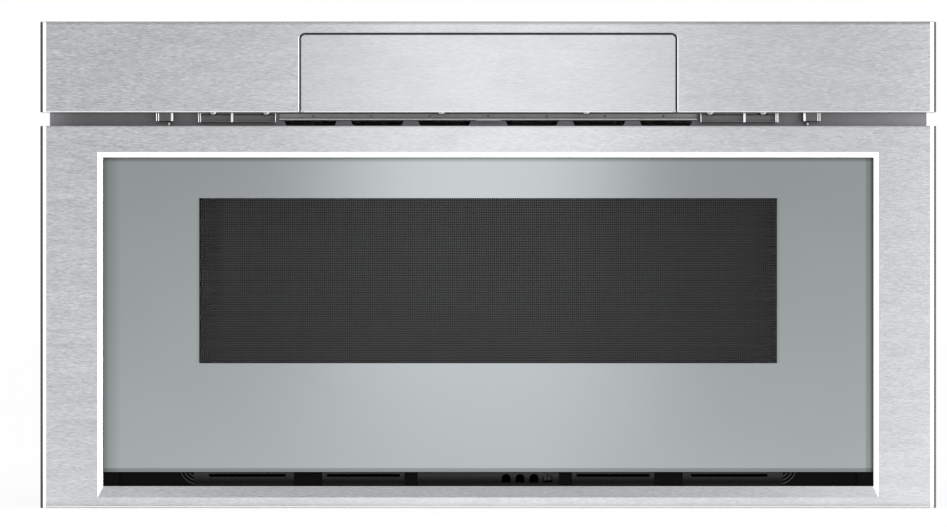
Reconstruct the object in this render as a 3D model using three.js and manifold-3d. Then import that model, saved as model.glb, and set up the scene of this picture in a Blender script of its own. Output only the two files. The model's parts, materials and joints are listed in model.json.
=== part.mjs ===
// A built-in microwave drawer, 30 inch class, in millimetres.
//
// +X is to the right of a person who stands in front of it, +Y goes back into the cabinet, +Z is up.
// The origin is the centre of the base plate's underside, which stands on the cabinet's floor.
// The cabinet's face is the plane y = faceY, and everything that shows lies in front of it.

import * as THREE from "three";
import { mergeVertices } from "three/addons/utils/BufferGeometryUtils.js";
import Module from "manifold-3d";

const wasm = await Module();
wasm.setup();

// ---------------------------------------------------------------------------
// Driving dimensions
// ---------------------------------------------------------------------------

const FIT = 0.3; // assembly clearance between pieces that seat on each other

const CHASSIS = { depth: 562, sheet: 1.2, baseSheet: 2, turnUp: 18 };
// How far the front stands out past the chassis.
const OVERLAP = { side: 24.5, top: 20, bottom: 16.5 };
const FLANGE = { sheet: 1.5, inset: 6.4, belowBase: 8, screwRadius: 2.5, screwInset: 5 };
const FRONT = { width: 760, thickness: 28, edgeRadius: 5, standOff: 2.5, skin: 1.5 };
const DRAWER_FRONT = { height: 324, sideBorder: 49, topBorder: 22.5, bottomBorder: 9.5, bevel: 4.3, ledge: 9 };
const FASCIA = { height: 77, gap: 11.5 };

const GLASS = { recess: 4, thickness: 4, edgeGap: 0.4 };
const SCREEN = { width: 489, height: 140, bottom: 106.5, lap: 10, thickness: 1 };
const CHOKE = { width: 12, depth: 12, land: 3, coverThickness: 2.5 };
const GRILLE = { height: 11.4, recess: 9, padProud: 1.5, holeWidth: 7.7, holePitch: 11.8, holesPerSide: 4 };

const PAN = { sideGap: 18, depth: 385, height: 178, bottom: 72, wall: 2, lip: 6, cornerRadius: 14 };
const TRAY = { thickness: 5, edgeGap: 3 };
const CAVITY = { sideSpace: 85.5, bottom: 58, height: 204, depth: 397, sheet: 1.2, lip: 10 };
const TRAVEL = 381;

const RAIL = { height: 45, depth: 12.6, length: 430, z: 100, sheet: 1.5, play: 0.6 };
const DRIVE = { module: 2, teeth: 16, x: 60, behindFace: 31, width: 8, bedThickness: 5.5, bedZ: 6, backlash: 0.6 };
const LATCH = { besideCavity: 30, z: 240, height: 16, thickness: 3, reach: 26 };

const FLAP = { width: 318.4, height: 66.2, gap: 1.1, skin: 1.2, depth: 6, cornerRadius: 4, carrierBack: 10 };
const FLAP_HINGE = { behindFace: 9, aboveEdge: 7, pinRadius: 2.5 };
const FLAP_GEAR = { module: 1, sectorTeeth: 40, pinionTeeth: 12, meshDeg: 40, width: 5, backlash: 0.4 };

const STIRRER = { behindFace: 261, radius: 55, coverRadius: 74, holeRadius: 66, shaftRadius: 2.5 };
const WAVEGUIDE = { width: 150, height: 41, ahead: 75, behind: 37, sheet: 1.2 };
const MAGNETRON = { width: 80, depth: 78, height: 86, behindCavity: 46.7 };
const FAN = { radius: 55, tipGap: 3, z: 196, ductDepth: 34, hubRadius: 15, hubLength: 16, blades: 5 };

// ---------------------------------------------------------------------------
// Planes and edges worked out from the driving dimensions
// ---------------------------------------------------------------------------

const faceY = -CHASSIS.depth / 2;
const rearY = CHASSIS.depth / 2;
const flangeFrontY = faceY - FLANGE.sheet;
const panelBackY = flangeFrontY - FRONT.standOff;
const frontY = panelBackY - FRONT.thickness;
const chassisWidth = FRONT.width - 2 * OVERLAP.side;
const sideInnerX = chassisWidth / 2 - CHASSIS.sheet;
const backInnerY = rearY - CHASSIS.sheet;

const drawerBottomZ = -OVERLAP.bottom;
const drawerTopZ = drawerBottomZ + DRAWER_FRONT.height;
const fasciaBottomZ = drawerTopZ + FASCIA.gap;
const fasciaTopZ = fasciaBottomZ + FASCIA.height;
const chassisTopZ = fasciaTopZ - OVERLAP.top;

// The recess that holds the glass and the air inlet under it.
const recess = {
  halfWidth: FRONT.width / 2 - DRAWER_FRONT.sideBorder - DRAWER_FRONT.bevel,
  bottom: drawerBottomZ + DRAWER_FRONT.bottomBorder + DRAWER_FRONT.ledge,
  top: drawerTopZ - DRAWER_FRONT.topBorder - DRAWER_FRONT.bevel,
};
const glassFrontY = frontY + GLASS.recess;
const glassBackY = glassFrontY + GLASS.thickness;
const coreHalfWidth = recess.halfWidth - GLASS.edgeGap;
const coreTopZ = recess.top - GLASS.edgeGap;
const grilleTopZ = recess.bottom + FIT + GRILLE.height;
const coreBottomZ = grilleTopZ + FIT;
const coreFrontY = glassBackY + FIT + SCREEN.thickness + FIT;
const windowTopZ = SCREEN.bottom + SCREEN.height;

const mouth = {
  halfWidth: chassisWidth / 2 - CAVITY.sideSpace,
  bottom: CAVITY.bottom,
  top: CAVITY.bottom + CAVITY.height,
};
const pan = {
  halfWidth: mouth.halfWidth - PAN.sideGap,
  front: panelBackY + FIT,
  back: panelBackY + FIT + PAN.depth + PAN.wall,
  top: PAN.bottom + PAN.wall + PAN.height,
};
const cavityBackY = faceY + FIT + CAVITY.depth;
const ceilingTopZ = mouth.top + CAVITY.sheet;
const driveY = faceY + DRIVE.behindFace;
const stirrerY = faceY + STIRRER.behindFace;
const magnetronMidY = cavityBackY + MAGNETRON.behindCavity;

// ---------------------------------------------------------------------------
// Solids
// ---------------------------------------------------------------------------

// A closed three.js geometry as a solid that can be joined and cut.
function solid(geometry) {
  geometry.deleteAttribute("normal");
  geometry.deleteAttribute("uv");
  const merged = mergeVertices(geometry, 1e-5);
  return new wasm.Manifold(
    new wasm.Mesh({
      numProp: 3,
      vertProperties: merged.attributes.position.array,
      triVerts: new Uint32Array(merged.index.array),
    }),
  );
}

function box(x0, x1, y0, y1, z0, z1) {
  const geometry = new THREE.BoxGeometry(x1 - x0, y1 - y0, z1 - z0);
  return solid(geometry.translate((x0 + x1) / 2, (y0 + y1) / 2, (z0 + z1) / 2));
}

// A flat outline pushed along an axis. It is drawn in (y, z) for x, (x, z) for y and (x, y) for z.
function prism(outline, axis, from, to, curveSegments = 6) {
  const shape = Array.isArray(outline)
    ? new THREE.Shape(outline.map(([a, b]) => new THREE.Vector2(a, b)))
    : outline;
  const geometry = new THREE.ExtrudeGeometry(shape, {
    depth: to - from,
    bevelEnabled: false,
    curveSegments,
  });
  const place = new THREE.Matrix4();
  if (axis === "x") place.set(0, 0, 1, from, 1, 0, 0, 0, 0, 1, 0, 0, 0, 0, 0, 1);
  if (axis === "y") place.set(1, 0, 0, 0, 0, 0, -1, to, 0, 1, 0, 0, 0, 0, 0, 1);
  if (axis === "z") place.makeTranslation(0, 0, from);
  return solid(geometry.applyMatrix4(place));
}

// A round bar along an axis, centred at (a, b) in the plane that prism names for that axis.
function bar(axis, a, b, radius, from, to, segments = 24) {
  const shape = new THREE.Shape();
  shape.absarc(a, b, radius, 0, 2 * Math.PI, false);
  return prism(shape, axis, from, to, segments / 2); // an arc is drawn with two points per segment
}

// An upright rectangle whose two low and two high corners are rounded, or sharp where the radius is 0.
function roundedRect(x0, x1, z0, z1, lowRadius, highRadius = lowRadius, steps = 5) {
  const corners = [
    [x0 + lowRadius, z0 + lowRadius, lowRadius, Math.PI],
    [x1 - lowRadius, z0 + lowRadius, lowRadius, 1.5 * Math.PI],
    [x1 - highRadius, z1 - highRadius, highRadius, 0],
    [x0 + highRadius, z1 - highRadius, highRadius, 0.5 * Math.PI],
  ];
  return corners.flatMap(([cx, cz, radius, start]) => {
    const count = radius > 0 ? steps + 1 : 1;
    return Array.from({ length: count }, (_, i) => {
      const angle = start + (i / steps) * (Math.PI / 2);
      return [cx + radius * Math.cos(angle), cz + radius * Math.sin(angle)];
    });
  });
}

// A rectangle in the plane y0 that narrows or widens to another in the plane y1, both [x0, x1, z0, z1].
function taper(near, y0, far, y1) {
  const ring = ([a, b, c, d], y) => [a, y, c, b, y, c, b, y, d, a, y, d];
  const geometry = new THREE.BufferGeometry();
  const points = new Float32Array([...ring(near, y0), ...ring(far, y1)]);
  geometry.setAttribute("position", new THREE.BufferAttribute(points, 3));
  const sides = [0, 1, 2, 3].flatMap((i) => {
    const j = (i + 1) % 4;
    return [i, i + 4, j, j, i + 4, j + 4];
  });
  geometry.setIndex([0, 1, 2, 0, 2, 3, 4, 6, 5, 4, 7, 6, ...sides]);
  return solid(geometry);
}

// A tray or can: an outer box with the hollow left by its sheet, open on one side.
function openBox(x0, x1, y0, y1, z0, z1, sheet, open) {
  const inset = (side, value, sign) => (open === side ? value + sign * -1 : value + sign * sheet);
  return box(x0, x1, y0, y1, z0, z1).subtract(
    box(
      inset("-x", x0, 1),
      inset("+x", x1, -1),
      inset("-y", y0, 1),
      inset("+y", y1, -1),
      inset("-z", z0, 1),
      inset("+z", z1, -1),
    ),
  );
}

function join(first, ...others) {
  return others.reduce((whole, piece) => whole.add(piece), first);
}

function cut(first, ...others) {
  return others.reduce((whole, piece) => whole.subtract(piece), first);
}

// The appliance, and the assemblies that it is made of.
const microwaveDrawer = new THREE.Group();

function assembly() {
  const group = new THREE.Group();
  microwaveDrawer.add(group);
  return group;
}

const cabinetShell = assembly();
const electrics = assembly();
const controlUnit = assembly();
const drawerUnit = assembly();
const slides = assembly();

function add(parent, name, made, material) {
  const data = made.getMesh();
  const positions = new Float32Array(data.numVert * 3);
  for (let i = 0; i < data.numVert; i++) {
    positions.set(data.vertProperties.subarray(i * data.numProp, i * data.numProp + 3), i * 3);
  }
  const geometry = new THREE.BufferGeometry();
  geometry.setAttribute("position", new THREE.BufferAttribute(positions, 3));
  geometry.setIndex(new THREE.BufferAttribute(data.triVerts, 1));
  geometry.computeVertexNormals();
  const mesh = new THREE.Mesh(geometry, material.clone());
  mesh.name = name;
  parent.add(mesh);
  return mesh;
}

// A piece modelled on the right, and its mirror image on the left.
function addPair(parent, name, made, material) {
  add(parent, "right_" + name, made, material);
  add(parent, "left_" + name, made, material).scale.x = -1;
}

// ---------------------------------------------------------------------------
// Materials
// ---------------------------------------------------------------------------

const finish = (color, roughness, metalness, extra = {}) =>
  new THREE.MeshStandardMaterial({ color, roughness, metalness, ...extra });

const brushedSteel = finish(0xc8cacd, 0.32, 1);
const galvanised = finish(0x9a9d9e, 0.45, 1);
const paintedCavity = finish(0xb9bcbb, 0.5, 0.2);
const blackPlastic = finish(0x1d1e20, 0.55, 0);
const greyPlastic = finish(0x5a5c5e, 0.6, 0);
const whitePlastic = finish(0xdcdcd8, 0.55, 0);
const tintedGlass = finish(0x8d9696, 0.05, 0, { transparent: true, opacity: 0.6 });
const darkScreen = finish(0x2b2c2d, 0.5, 0.6);
const blackGlass = finish(0x101214, 0.08, 0);
const rail = finish(0xaeb1b3, 0.35, 1);
const circuitBoard = finish(0x2f5d3c, 0.6, 0);
const aluminium = finish(0xb4b6b8, 0.4, 1);
const ironCore = finish(0x55504c, 0.6, 0.7);
const mica = finish(0xc9bfa4, 0.6, 0);

// ---------------------------------------------------------------------------
// Drawer front: a folded steel frame, the glass, the screen, the choke frame and the air inlet
// ---------------------------------------------------------------------------

// The plan of a front panel: a plate with its two front upright edges rounded, set in by a skin.
function panelPlan(inset) {
  const half = FRONT.width / 2 - inset;
  const radius = Math.max(FRONT.edgeRadius - inset, 0.5);
  return roundedRect(-half, half, frontY + inset, panelBackY + (inset ? 1 : 0), radius, 0, 3);
}

function frontPanelShell(bottom, top) {
  return cut(
    prism(panelPlan(0), "z", bottom, top),
    prism(panelPlan(FRONT.skin), "z", bottom + FRONT.skin, top - FRONT.skin),
  );
}

const bevelRect = {
  halfWidth: FRONT.width / 2 - DRAWER_FRONT.sideBorder,
  bottom: drawerBottomZ + DRAWER_FRONT.bottomBorder,
  top: drawerTopZ - DRAWER_FRONT.topBorder,
};
const recessRim = box(
  -bevelRect.halfWidth - FRONT.skin,
  bevelRect.halfWidth + FRONT.skin,
  frontY + FRONT.skin / 2,
  panelBackY,
  bevelRect.bottom - FRONT.skin,
  bevelRect.top + FRONT.skin,
);
const frame = cut(
  join(frontPanelShell(drawerBottomZ, drawerTopZ), recessRim),
  taper(
    [-bevelRect.halfWidth, bevelRect.halfWidth, bevelRect.bottom, bevelRect.top],
    frontY,
    [-recess.halfWidth, recess.halfWidth, recess.bottom, recess.top],
    glassFrontY,
  ),
  box(-recess.halfWidth, recess.halfWidth, glassFrontY, panelBackY + 1, recess.bottom, recess.top),
);
add(drawerUnit, "drawer_front_frame", frame, brushedSteel);

add(
  drawerUnit,
  "drawer_glass",
  box(-coreHalfWidth, coreHalfWidth, glassFrontY, glassBackY, coreBottomZ, coreTopZ),
  tintedGlass,
);

const windowHalf = SCREEN.width / 2;
add(
  drawerUnit,
  "window_screen",
  box(
    -windowHalf - SCREEN.lap,
    windowHalf + SCREEN.lap,
    glassBackY + FIT,
    glassBackY + FIT + SCREEN.thickness,
    SCREEN.bottom - SCREEN.lap,
    windowTopZ + SCREEN.lap,
  ),
  darkScreen,
);

// A rectangular ring round the cavity's mouth, from one offset outside it to another.
function mouthRing(inner, outer, y0, y1) {
  const whole = box(
    -mouth.halfWidth - outer,
    mouth.halfWidth + outer,
    y0,
    y1,
    mouth.bottom - outer,
    mouth.top + outer,
  );
  const hole = box(
    -mouth.halfWidth - inner,
    mouth.halfWidth + inner,
    y0 - 1,
    y1 + 1,
    mouth.bottom - inner,
    mouth.top + inner,
  );
  return whole.subtract(hole);
}

const chokeOuter = CHOKE.land + CHOKE.width;
const chokeWall = 2;
const chokeFrame = cut(
  box(-coreHalfWidth, coreHalfWidth, coreFrontY, panelBackY, coreBottomZ, coreTopZ),
  box(-windowHalf, windowHalf, coreFrontY - 1, panelBackY + 1, SCREEN.bottom, windowTopZ),
  mouthRing(CHOKE.land, chokeOuter, panelBackY - CHOKE.depth, panelBackY + 1),
  // The pressing is hollow from the front, outside the choke channel and inside it.
  box(
    -coreHalfWidth + chokeWall,
    coreHalfWidth - chokeWall,
    coreFrontY - 1,
    panelBackY - chokeWall,
    coreBottomZ + chokeWall,
    mouth.bottom - chokeOuter - chokeWall,
  ),
  box(
    mouth.halfWidth + chokeOuter + chokeWall,
    coreHalfWidth - chokeWall,
    coreFrontY - 1,
    panelBackY - chokeWall,
    mouth.bottom - chokeOuter,
    coreTopZ - chokeWall,
  ),
  box(
    -coreHalfWidth + chokeWall,
    -mouth.halfWidth - chokeOuter - chokeWall,
    coreFrontY - 1,
    panelBackY - chokeWall,
    mouth.bottom - chokeOuter,
    coreTopZ - chokeWall,
  ),
  box(
    -mouth.halfWidth + chokeWall,
    mouth.halfWidth - chokeWall,
    coreFrontY - 1,
    panelBackY - chokeWall,
    mouth.bottom + chokeWall,
    SCREEN.bottom - chokeWall,
  ),
);
add(drawerUnit, "door_choke_frame", chokeFrame, galvanised);

add(
  drawerUnit,
  "choke_cover",
  mouthRing(CHOKE.land + FIT, chokeOuter - FIT, panelBackY - CHOKE.coverThickness, panelBackY),
  blackPlastic,
);

// Air inlet under the glass: raised pads with a slot in each, and arched holes in the middle one.
const inletBottom = recess.bottom + FIT;
const inletY = frontY + GRILLE.recess;
const inletPads = [
  { from: -60, to: 60 },
  { from: 71, to: 141, slotFrom: 75, slotTo: 137 },
  { from: 165, to: 250, slotFrom: 172, slotTo: 237 },
];
const archPlan = (x) => {
  const half = GRILLE.holeWidth / 2;
  return roundedRect(x - half, x + half, inletBottom + 2.5, grilleTopZ - 1.5, 0.8, half);
};
let inlet = box(-coreHalfWidth, coreHalfWidth, inletY, panelBackY, inletBottom, grilleTopZ);
for (const side of [-1, 1]) {
  const span = (from, to, y0, y1, z0, z1) =>
    box(Math.min(side * from, side * to), Math.max(side * from, side * to), y0, y1, z0, z1);
  for (const { from, to } of inletPads) {
    inlet = inlet.add(span(from, to, inletY - GRILLE.padProud, inletY, inletBottom, grilleTopZ));
  }
  inlet = inlet.add(
    span(coreHalfWidth - 13, coreHalfWidth, inletY - 2 * GRILLE.padProud, inletY, inletBottom, grilleTopZ),
  );
  for (const { slotFrom, slotTo } of inletPads.filter((pad) => pad.slotFrom)) {
    inlet = inlet.subtract(
      span(slotFrom, slotTo, inletY - 2, panelBackY + 1, grilleTopZ - 4, grilleTopZ - 1.5),
    );
  }
  for (let i = 0; i < GRILLE.holesPerSide; i++) {
    const x = side * (15.2 + i * GRILLE.holePitch);
    inlet = inlet.subtract(prism(archPlan(x), "y", inletY - 2, panelBackY + 1));
  }
}
add(drawerUnit, "air_inlet_grille", inlet, blackPlastic);

// ---------------------------------------------------------------------------
// Drawer pan, with its glass floor
// ---------------------------------------------------------------------------

function panPlan(halfWidth, front, back, cornerRadius) {
  return roundedRect(-halfWidth, halfWidth, front, back, 0, cornerRadius);
}

const panSkin = prism(
  panPlan(pan.halfWidth, pan.front, pan.back, PAN.cornerRadius + PAN.wall),
  "z",
  PAN.bottom,
  pan.top,
);
const panLip = prism(
  panPlan(
    pan.halfWidth + PAN.lip,
    pan.front,
    pan.back + PAN.lip,
    PAN.cornerRadius + PAN.wall + PAN.lip,
  ),
  "z",
  pan.top - PAN.wall,
  pan.top,
);
const panFlange = box(
  -pan.halfWidth - PAN.lip,
  pan.halfWidth + PAN.lip,
  pan.front,
  pan.front + PAN.wall,
  PAN.bottom - PAN.lip,
  pan.top,
);
const panHollow = prism(
  panPlan(pan.halfWidth - PAN.wall, pan.front - 1, pan.back - PAN.wall, PAN.cornerRadius),
  "z",
  PAN.bottom + PAN.wall,
  pan.top + 1,
);
add(drawerUnit, "drawer_pan", join(panSkin, panLip, panFlange).subtract(panHollow), paintedCavity);

const trayGap = PAN.wall + TRAY.edgeGap;
add(
  drawerUnit,
  "glass_floor",
  prism(
    panPlan(
      pan.halfWidth - trayGap,
      pan.front + trayGap,
      pan.back - trayGap,
      Math.max(PAN.cornerRadius - TRAY.edgeGap, 1),
    ),
    "z",
    PAN.bottom + PAN.wall + FIT,
    PAN.bottom + PAN.wall + FIT + TRAY.thickness,
  ),
  tintedGlass,
);

// ---------------------------------------------------------------------------
// Telescopic slides, right side: outer member on the side panel, middle member, inner member
// ---------------------------------------------------------------------------

const railFront = faceY + 1;
const railBack = railFront + RAIL.length;
const memberX = sideInnerX - FIT;
const nest = RAIL.sheet + RAIL.play;

// A channel along y, with its web from webX to webX + sheet and its lips reaching lipX.
function channel(webX, lipX, halfHeight, y0, y1) {
  const [x0, x1] = [Math.min(webX, lipX), Math.max(webX + RAIL.sheet, lipX)];
  const whole = box(x0, x1, y0, y1, RAIL.z - halfHeight, RAIL.z + halfHeight);
  const opensLeft = lipX < webX;
  const inside = box(
    opensLeft ? x0 - 1 : x0 + RAIL.sheet,
    opensLeft ? x1 - RAIL.sheet : x1 + 1,
    y0 - 1,
    y1 + 1,
    RAIL.z - halfHeight + RAIL.sheet,
    RAIL.z + halfHeight - RAIL.sheet,
  );
  return whole.subtract(inside);
}

const outerHalf = RAIL.height / 2;
const middleHalf = outerHalf - nest;
const innerHalf = middleHalf - nest;
const middleWebX = memberX - nest - RAIL.sheet;
const innerWebX = memberX - RAIL.depth;
const innerLipX = middleWebX - RAIL.play;

addPair(
  slides,
  "outer_rail",
  channel(memberX - RAIL.sheet, memberX - RAIL.depth + 3, outerHalf, railFront, railBack),
  rail,
);
addPair(
  slides,
  "middle_rail",
  channel(middleWebX, innerWebX + nest, middleHalf, railFront, railBack),
  rail,
);

// The inner member passes the flange, and its tab is bolted to the back of the drawer's front.
const tabY = panelBackY + FIT;
const tabSheet = 1.5;
const tabLap = 26;
const tabOuterX = Math.max(innerWebX + RAIL.sheet, recess.halfWidth + FRONT.skin);
const innerRail = join(
  channel(innerWebX, innerLipX, innerHalf, tabY, railBack - 5),
  box(
    Math.min(coreHalfWidth, innerWebX) - tabLap,
    tabOuterX,
    tabY,
    tabY + tabSheet,
    RAIL.z - innerHalf,
    RAIL.z + innerHalf,
  ),
);
addPair(drawerUnit, "inner_rail", innerRail, rail);

// ---------------------------------------------------------------------------
// Rack and pinion under the cavity
// ---------------------------------------------------------------------------

// Half the width of a straight-sided tooth at a height above the pitch line.
function toothHalf(module, backlash, height) {
  return (Math.PI * module) / 4 - backlash / 2 - height * Math.tan(Math.PI / 9);
}

const ADDENDUM = 0.9;
const DEDENDUM = 1.25;

// A gear's outline from tooth firstTooth on, count teeth long, one tooth pointing along phase.
function gearPoints({ module, teeth, backlash, phase, firstTooth = 0, count = teeth }) {
  const pitchRadius = (module * teeth) / 2;
  const tip = pitchRadius + ADDENDUM * module;
  const root = pitchRadius - DEDENDUM * module;
  const tipAngle = toothHalf(module, backlash, ADDENDUM * module) / tip;
  const rootAngle = toothHalf(module, backlash, -DEDENDUM * module) / root;
  const flanks = [
    [root, -Math.min(rootAngle, Math.PI / teeth)],
    [tip, -tipAngle],
    [tip, tipAngle],
    [root, Math.min(rootAngle, Math.PI / teeth)],
  ];
  return Array.from({ length: count }, (_, i) => firstTooth + i).flatMap((tooth) =>
    flanks.map(([radius, offset]) => {
      const angle = phase + (tooth * 2 * Math.PI) / teeth + offset;
      return [radius * Math.cos(angle), radius * Math.sin(angle)];
    }),
  );
}

const pitchZ = DRIVE.bedZ + DRIVE.bedThickness + DEDENDUM * DRIVE.module;
const pinionRadius = (DRIVE.module * DRIVE.teeth) / 2;
const pinionZ = pitchZ + pinionRadius;
const driveX0 = DRIVE.x - DRIVE.width / 2;
const driveX1 = DRIVE.x + DRIVE.width / 2;

const rackBack = driveY + TRAVEL + 2 * Math.PI * DRIVE.module;
const toothPitch = Math.PI * DRIVE.module;
const firstRackTooth = Math.ceil((tabY + 10 - driveY) / toothPitch);
const lastRackTooth = Math.floor((rackBack - 6 - driveY) / toothPitch);
const rackPoints = [
  [rackBack, DRIVE.bedZ],
  [rackBack, DRIVE.bedZ + DRIVE.bedThickness],
];
for (let tooth = lastRackTooth; tooth >= firstRackTooth; tooth--) {
  const y = driveY + (tooth + 0.5) * toothPitch;
  const foot = toothHalf(DRIVE.module, DRIVE.backlash, -DEDENDUM * DRIVE.module);
  const crest = toothHalf(DRIVE.module, DRIVE.backlash, ADDENDUM * DRIVE.module);
  const low = DRIVE.bedZ + DRIVE.bedThickness;
  const high = pitchZ + ADDENDUM * DRIVE.module;
  rackPoints.push([y + foot, low], [y + crest, high], [y - crest, high], [y - foot, low]);
}
rackPoints.push([tabY, DRIVE.bedZ + DRIVE.bedThickness], [tabY, DRIVE.bedZ]);
const rackFoot = box(DRIVE.x - 15, DRIVE.x + 15, tabY, tabY + tabSheet, DRIVE.bedZ, coreBottomZ + 18);
add(
  drawerUnit,
  "gear_rack",
  prism(rackPoints.reverse(), "x", driveX0, driveX1).add(rackFoot),
  whitePlastic,
);

const driveShaftRadius = 4;
const pinionBore = driveShaftRadius + FIT;
const pinionOutline = gearPoints({ ...DRIVE, phase: -Math.PI / 2 });
const pinionHub = bar("x", 0, 0, 10, driveX1 - 1, driveX1 + 2);
const pinion = prism(pinionOutline, "x", driveX0 + 0.5, driveX1 - 0.5)
  .add(pinionHub)
  .subtract(bar("x", 0, 0, pinionBore, driveX0 - 1, driveX1 + 3));
add(slides, "drive_pinion", pinion, whitePlastic).position.set(0, driveY, pinionZ);

const baseTop = CHASSIS.baseSheet + FIT;
const gearboxX = driveX1 + 3;
const gearbox = { length: 58, depth: 44, height: 50 };
const driveMotor = { radius: 18, length: 42 };
add(
  slides,
  "drawer_motor",
  join(
    box(
      gearboxX,
      gearboxX + gearbox.length,
      driveY - gearbox.depth / 2,
      driveY + gearbox.depth / 2,
      baseTop,
      baseTop + gearbox.height,
    ),
    bar(
      "x",
      driveY,
      baseTop + driveMotor.radius + 3,
      driveMotor.radius,
      gearboxX + gearbox.length - 1,
      gearboxX + gearbox.length + driveMotor.length,
    ),
    bar("x", driveY, pinionZ, driveShaftRadius, driveX0 - 4, gearboxX + 1),
  ),
  blackPlastic,
);

// The guide carries the rack under the pinion.
const guideWall = 4;
const guide = cut(
  box(
    driveX0 - FIT - guideWall,
    driveX1 + FIT + 2,
    driveY - 12,
    driveY + 12,
    baseTop,
    DRIVE.bedZ + 4,
  ),
  box(driveX0 - FIT, driveX1 + FIT, driveY - 13, driveY + 13, DRIVE.bedZ - FIT, DRIVE.bedZ + 5),
);
add(slides, "rack_guide", guide, greyPlastic);

// ---------------------------------------------------------------------------
// Latch hooks on the drawer, and the interlock switches that they close
// ---------------------------------------------------------------------------

const latchX = mouth.halfWidth + LATCH.besideCavity;
const hookTip = tabY + LATCH.reach;
const hookOutline = [
  [tabY, LATCH.z],
  [hookTip, LATCH.z],
  [hookTip, LATCH.z + 9],
  [hookTip - 4, LATCH.z + 12],
  [hookTip - 7, LATCH.z + 12],
  [hookTip - 7, LATCH.z + 7],
  [tabY, LATCH.z + 7],
];
const hookFoot = box(
  latchX - 7,
  latchX + 7,
  tabY,
  tabY + tabSheet,
  LATCH.z - 10,
  LATCH.z + LATCH.height + 8,
);
addPair(
  drawerUnit,
  "latch_hook",
  prism(hookOutline, "x", latchX - LATCH.thickness / 2, latchX + LATCH.thickness / 2).add(hookFoot),
  blackPlastic,
);

const hookPlay = 1.5;
const interlockDepth = LATCH.reach + 20;
const hookSlotHalf = LATCH.thickness / 2 + hookPlay;
const hookSlotZ = [LATCH.z - hookPlay, LATCH.z + LATCH.height];
addPair(
  electrics,
  "interlock_switch",
  box(
    latchX - 10,
    latchX + 10,
    faceY + FIT,
    faceY + FIT + interlockDepth,
    LATCH.z - 16,
    LATCH.z + LATCH.height + 16,
  ).subtract(
    box(
      latchX - hookSlotHalf,
      latchX + hookSlotHalf,
      faceY - 1,
      hookTip + 4,
      hookSlotZ[0],
      hookSlotZ[1],
    ),
  ),
  blackPlastic,
);

// ---------------------------------------------------------------------------
// Cabinet shell: base plate, side panels, top cover, back cover, front flange
// ---------------------------------------------------------------------------

const shellFrontY = faceY;
const shellBackY = backInnerY - FIT;
const innerHalfWidth = sideInnerX - FIT;

// A plate across the width with its two long edges turned up (up = 1) or down (up = -1).
function turnedPlate(z0, z1, sheet, up) {
  const outer = box(-innerHalfWidth, innerHalfWidth, shellFrontY, shellBackY, z0, z1);
  const [low, high] = up > 0 ? [z0 + sheet, z1 + 1] : [z0 - 1, z1 - sheet];
  return outer.subtract(
    box(
      -innerHalfWidth + sheet,
      innerHalfWidth - sheet,
      shellFrontY - 1,
      shellBackY + 1,
      low,
      high,
    ),
  );
}

// Slots in a row along an axis, centred on middle.
function slotRow(count, pitch, middle, slotAt) {
  return Array.from({ length: count }, (_, i) => slotAt(middle + (i - (count - 1) / 2) * pitch));
}

const baseSlot = (x) => box(x - 4, x + 4, faceY + 26, faceY + 86, -1, CHASSIS.baseSheet + 1);
const basePlate = turnedPlate(0, CHASSIS.turnUp, CHASSIS.baseSheet, 1);
add(
  cabinetShell,
  "base_plate",
  cut(
    basePlate,
    ...[-150, 215].flatMap((middle) => slotRow(6, 26, middle, baseSlot)),
  ),
  galvanised,
);

const sideSlots = slotRow(8, 16, rearY - 76, (y) =>
  box(sideInnerX - 1, chassisWidth / 2 + 1, y - 4, y + 4, chassisTopZ - 136, chassisTopZ - 56),
);
addPair(
  cabinetShell,
  "side_panel",
  cut(
    box(sideInnerX, chassisWidth / 2, shellFrontY, shellBackY, 0, chassisTopZ),
    ...sideSlots,
  ),
  galvanised,
);

add(
  cabinetShell,
  "top_cover",
  turnedPlate(chassisTopZ - CHASSIS.turnUp, chassisTopZ, CHASSIS.sheet, -1),
  galvanised,
);

const gland = { x: 65.5 - chassisWidth / 2, z: 60, radius: 9, flangeRadius: 12, bore: 4 };
const fanBore = FAN.radius + FAN.tipGap;
add(
  cabinetShell,
  "back_cover",
  cut(
    box(-chassisWidth / 2, chassisWidth / 2, backInnerY, rearY, 0, chassisTopZ),
    bar("y", gland.x, gland.z, gland.radius, backInnerY - 1, rearY + 1),
    ...slotRow(9, 12, FAN.z, (z) => {
      const half = Math.sqrt(fanBore ** 2 - (z - FAN.z) ** 2) - 2;
      return box(-half, half, backInnerY - 1, rearY + 1, z - 3.5, z + 3.5);
    }),
  ),
  galvanised,
);

add(
  cabinetShell,
  "cord_gland",
  join(
    bar("y", gland.x, gland.z, gland.radius - FIT, backInnerY - 4, rearY + FIT + 1),
    bar("y", gland.x, gland.z, gland.flangeRadius, rearY + FIT, rearY + FIT + 3),
  ).subtract(bar("y", gland.x, gland.z, gland.bore, backInnerY - 5, rearY + 5)),
  blackPlastic,
);

// Three vents on each side, under the control strip, let the cooling air out over the drawer's top edge.
const VENTS = { perSide: 3, pitch: 57.1, midPitch: 74.6, topWidth: 45.4, slant: 4.3, height: 7.5, belowStrip: 6.6 };
const BAFFLE = { halfWidth: 178, belowStrip: 5.5, sheet: 1.2, reach: 7.5, leg: 5, holes: 7, holePitch: 49.7 };
const ventTopZ = fasciaBottomZ - VENTS.belowStrip;
const ventBottomZ = ventTopZ - VENTS.height;
const baffleZ = fasciaBottomZ - BAFFLE.belowStrip;
const ventPlan = (x) => {
  const half = VENTS.topWidth / 2;
  return [
    [x - half + VENTS.slant, ventBottomZ],
    [x + half - VENTS.slant, ventBottomZ],
    [x + half, ventTopZ],
    [x - half, ventTopZ],
  ];
};

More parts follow.
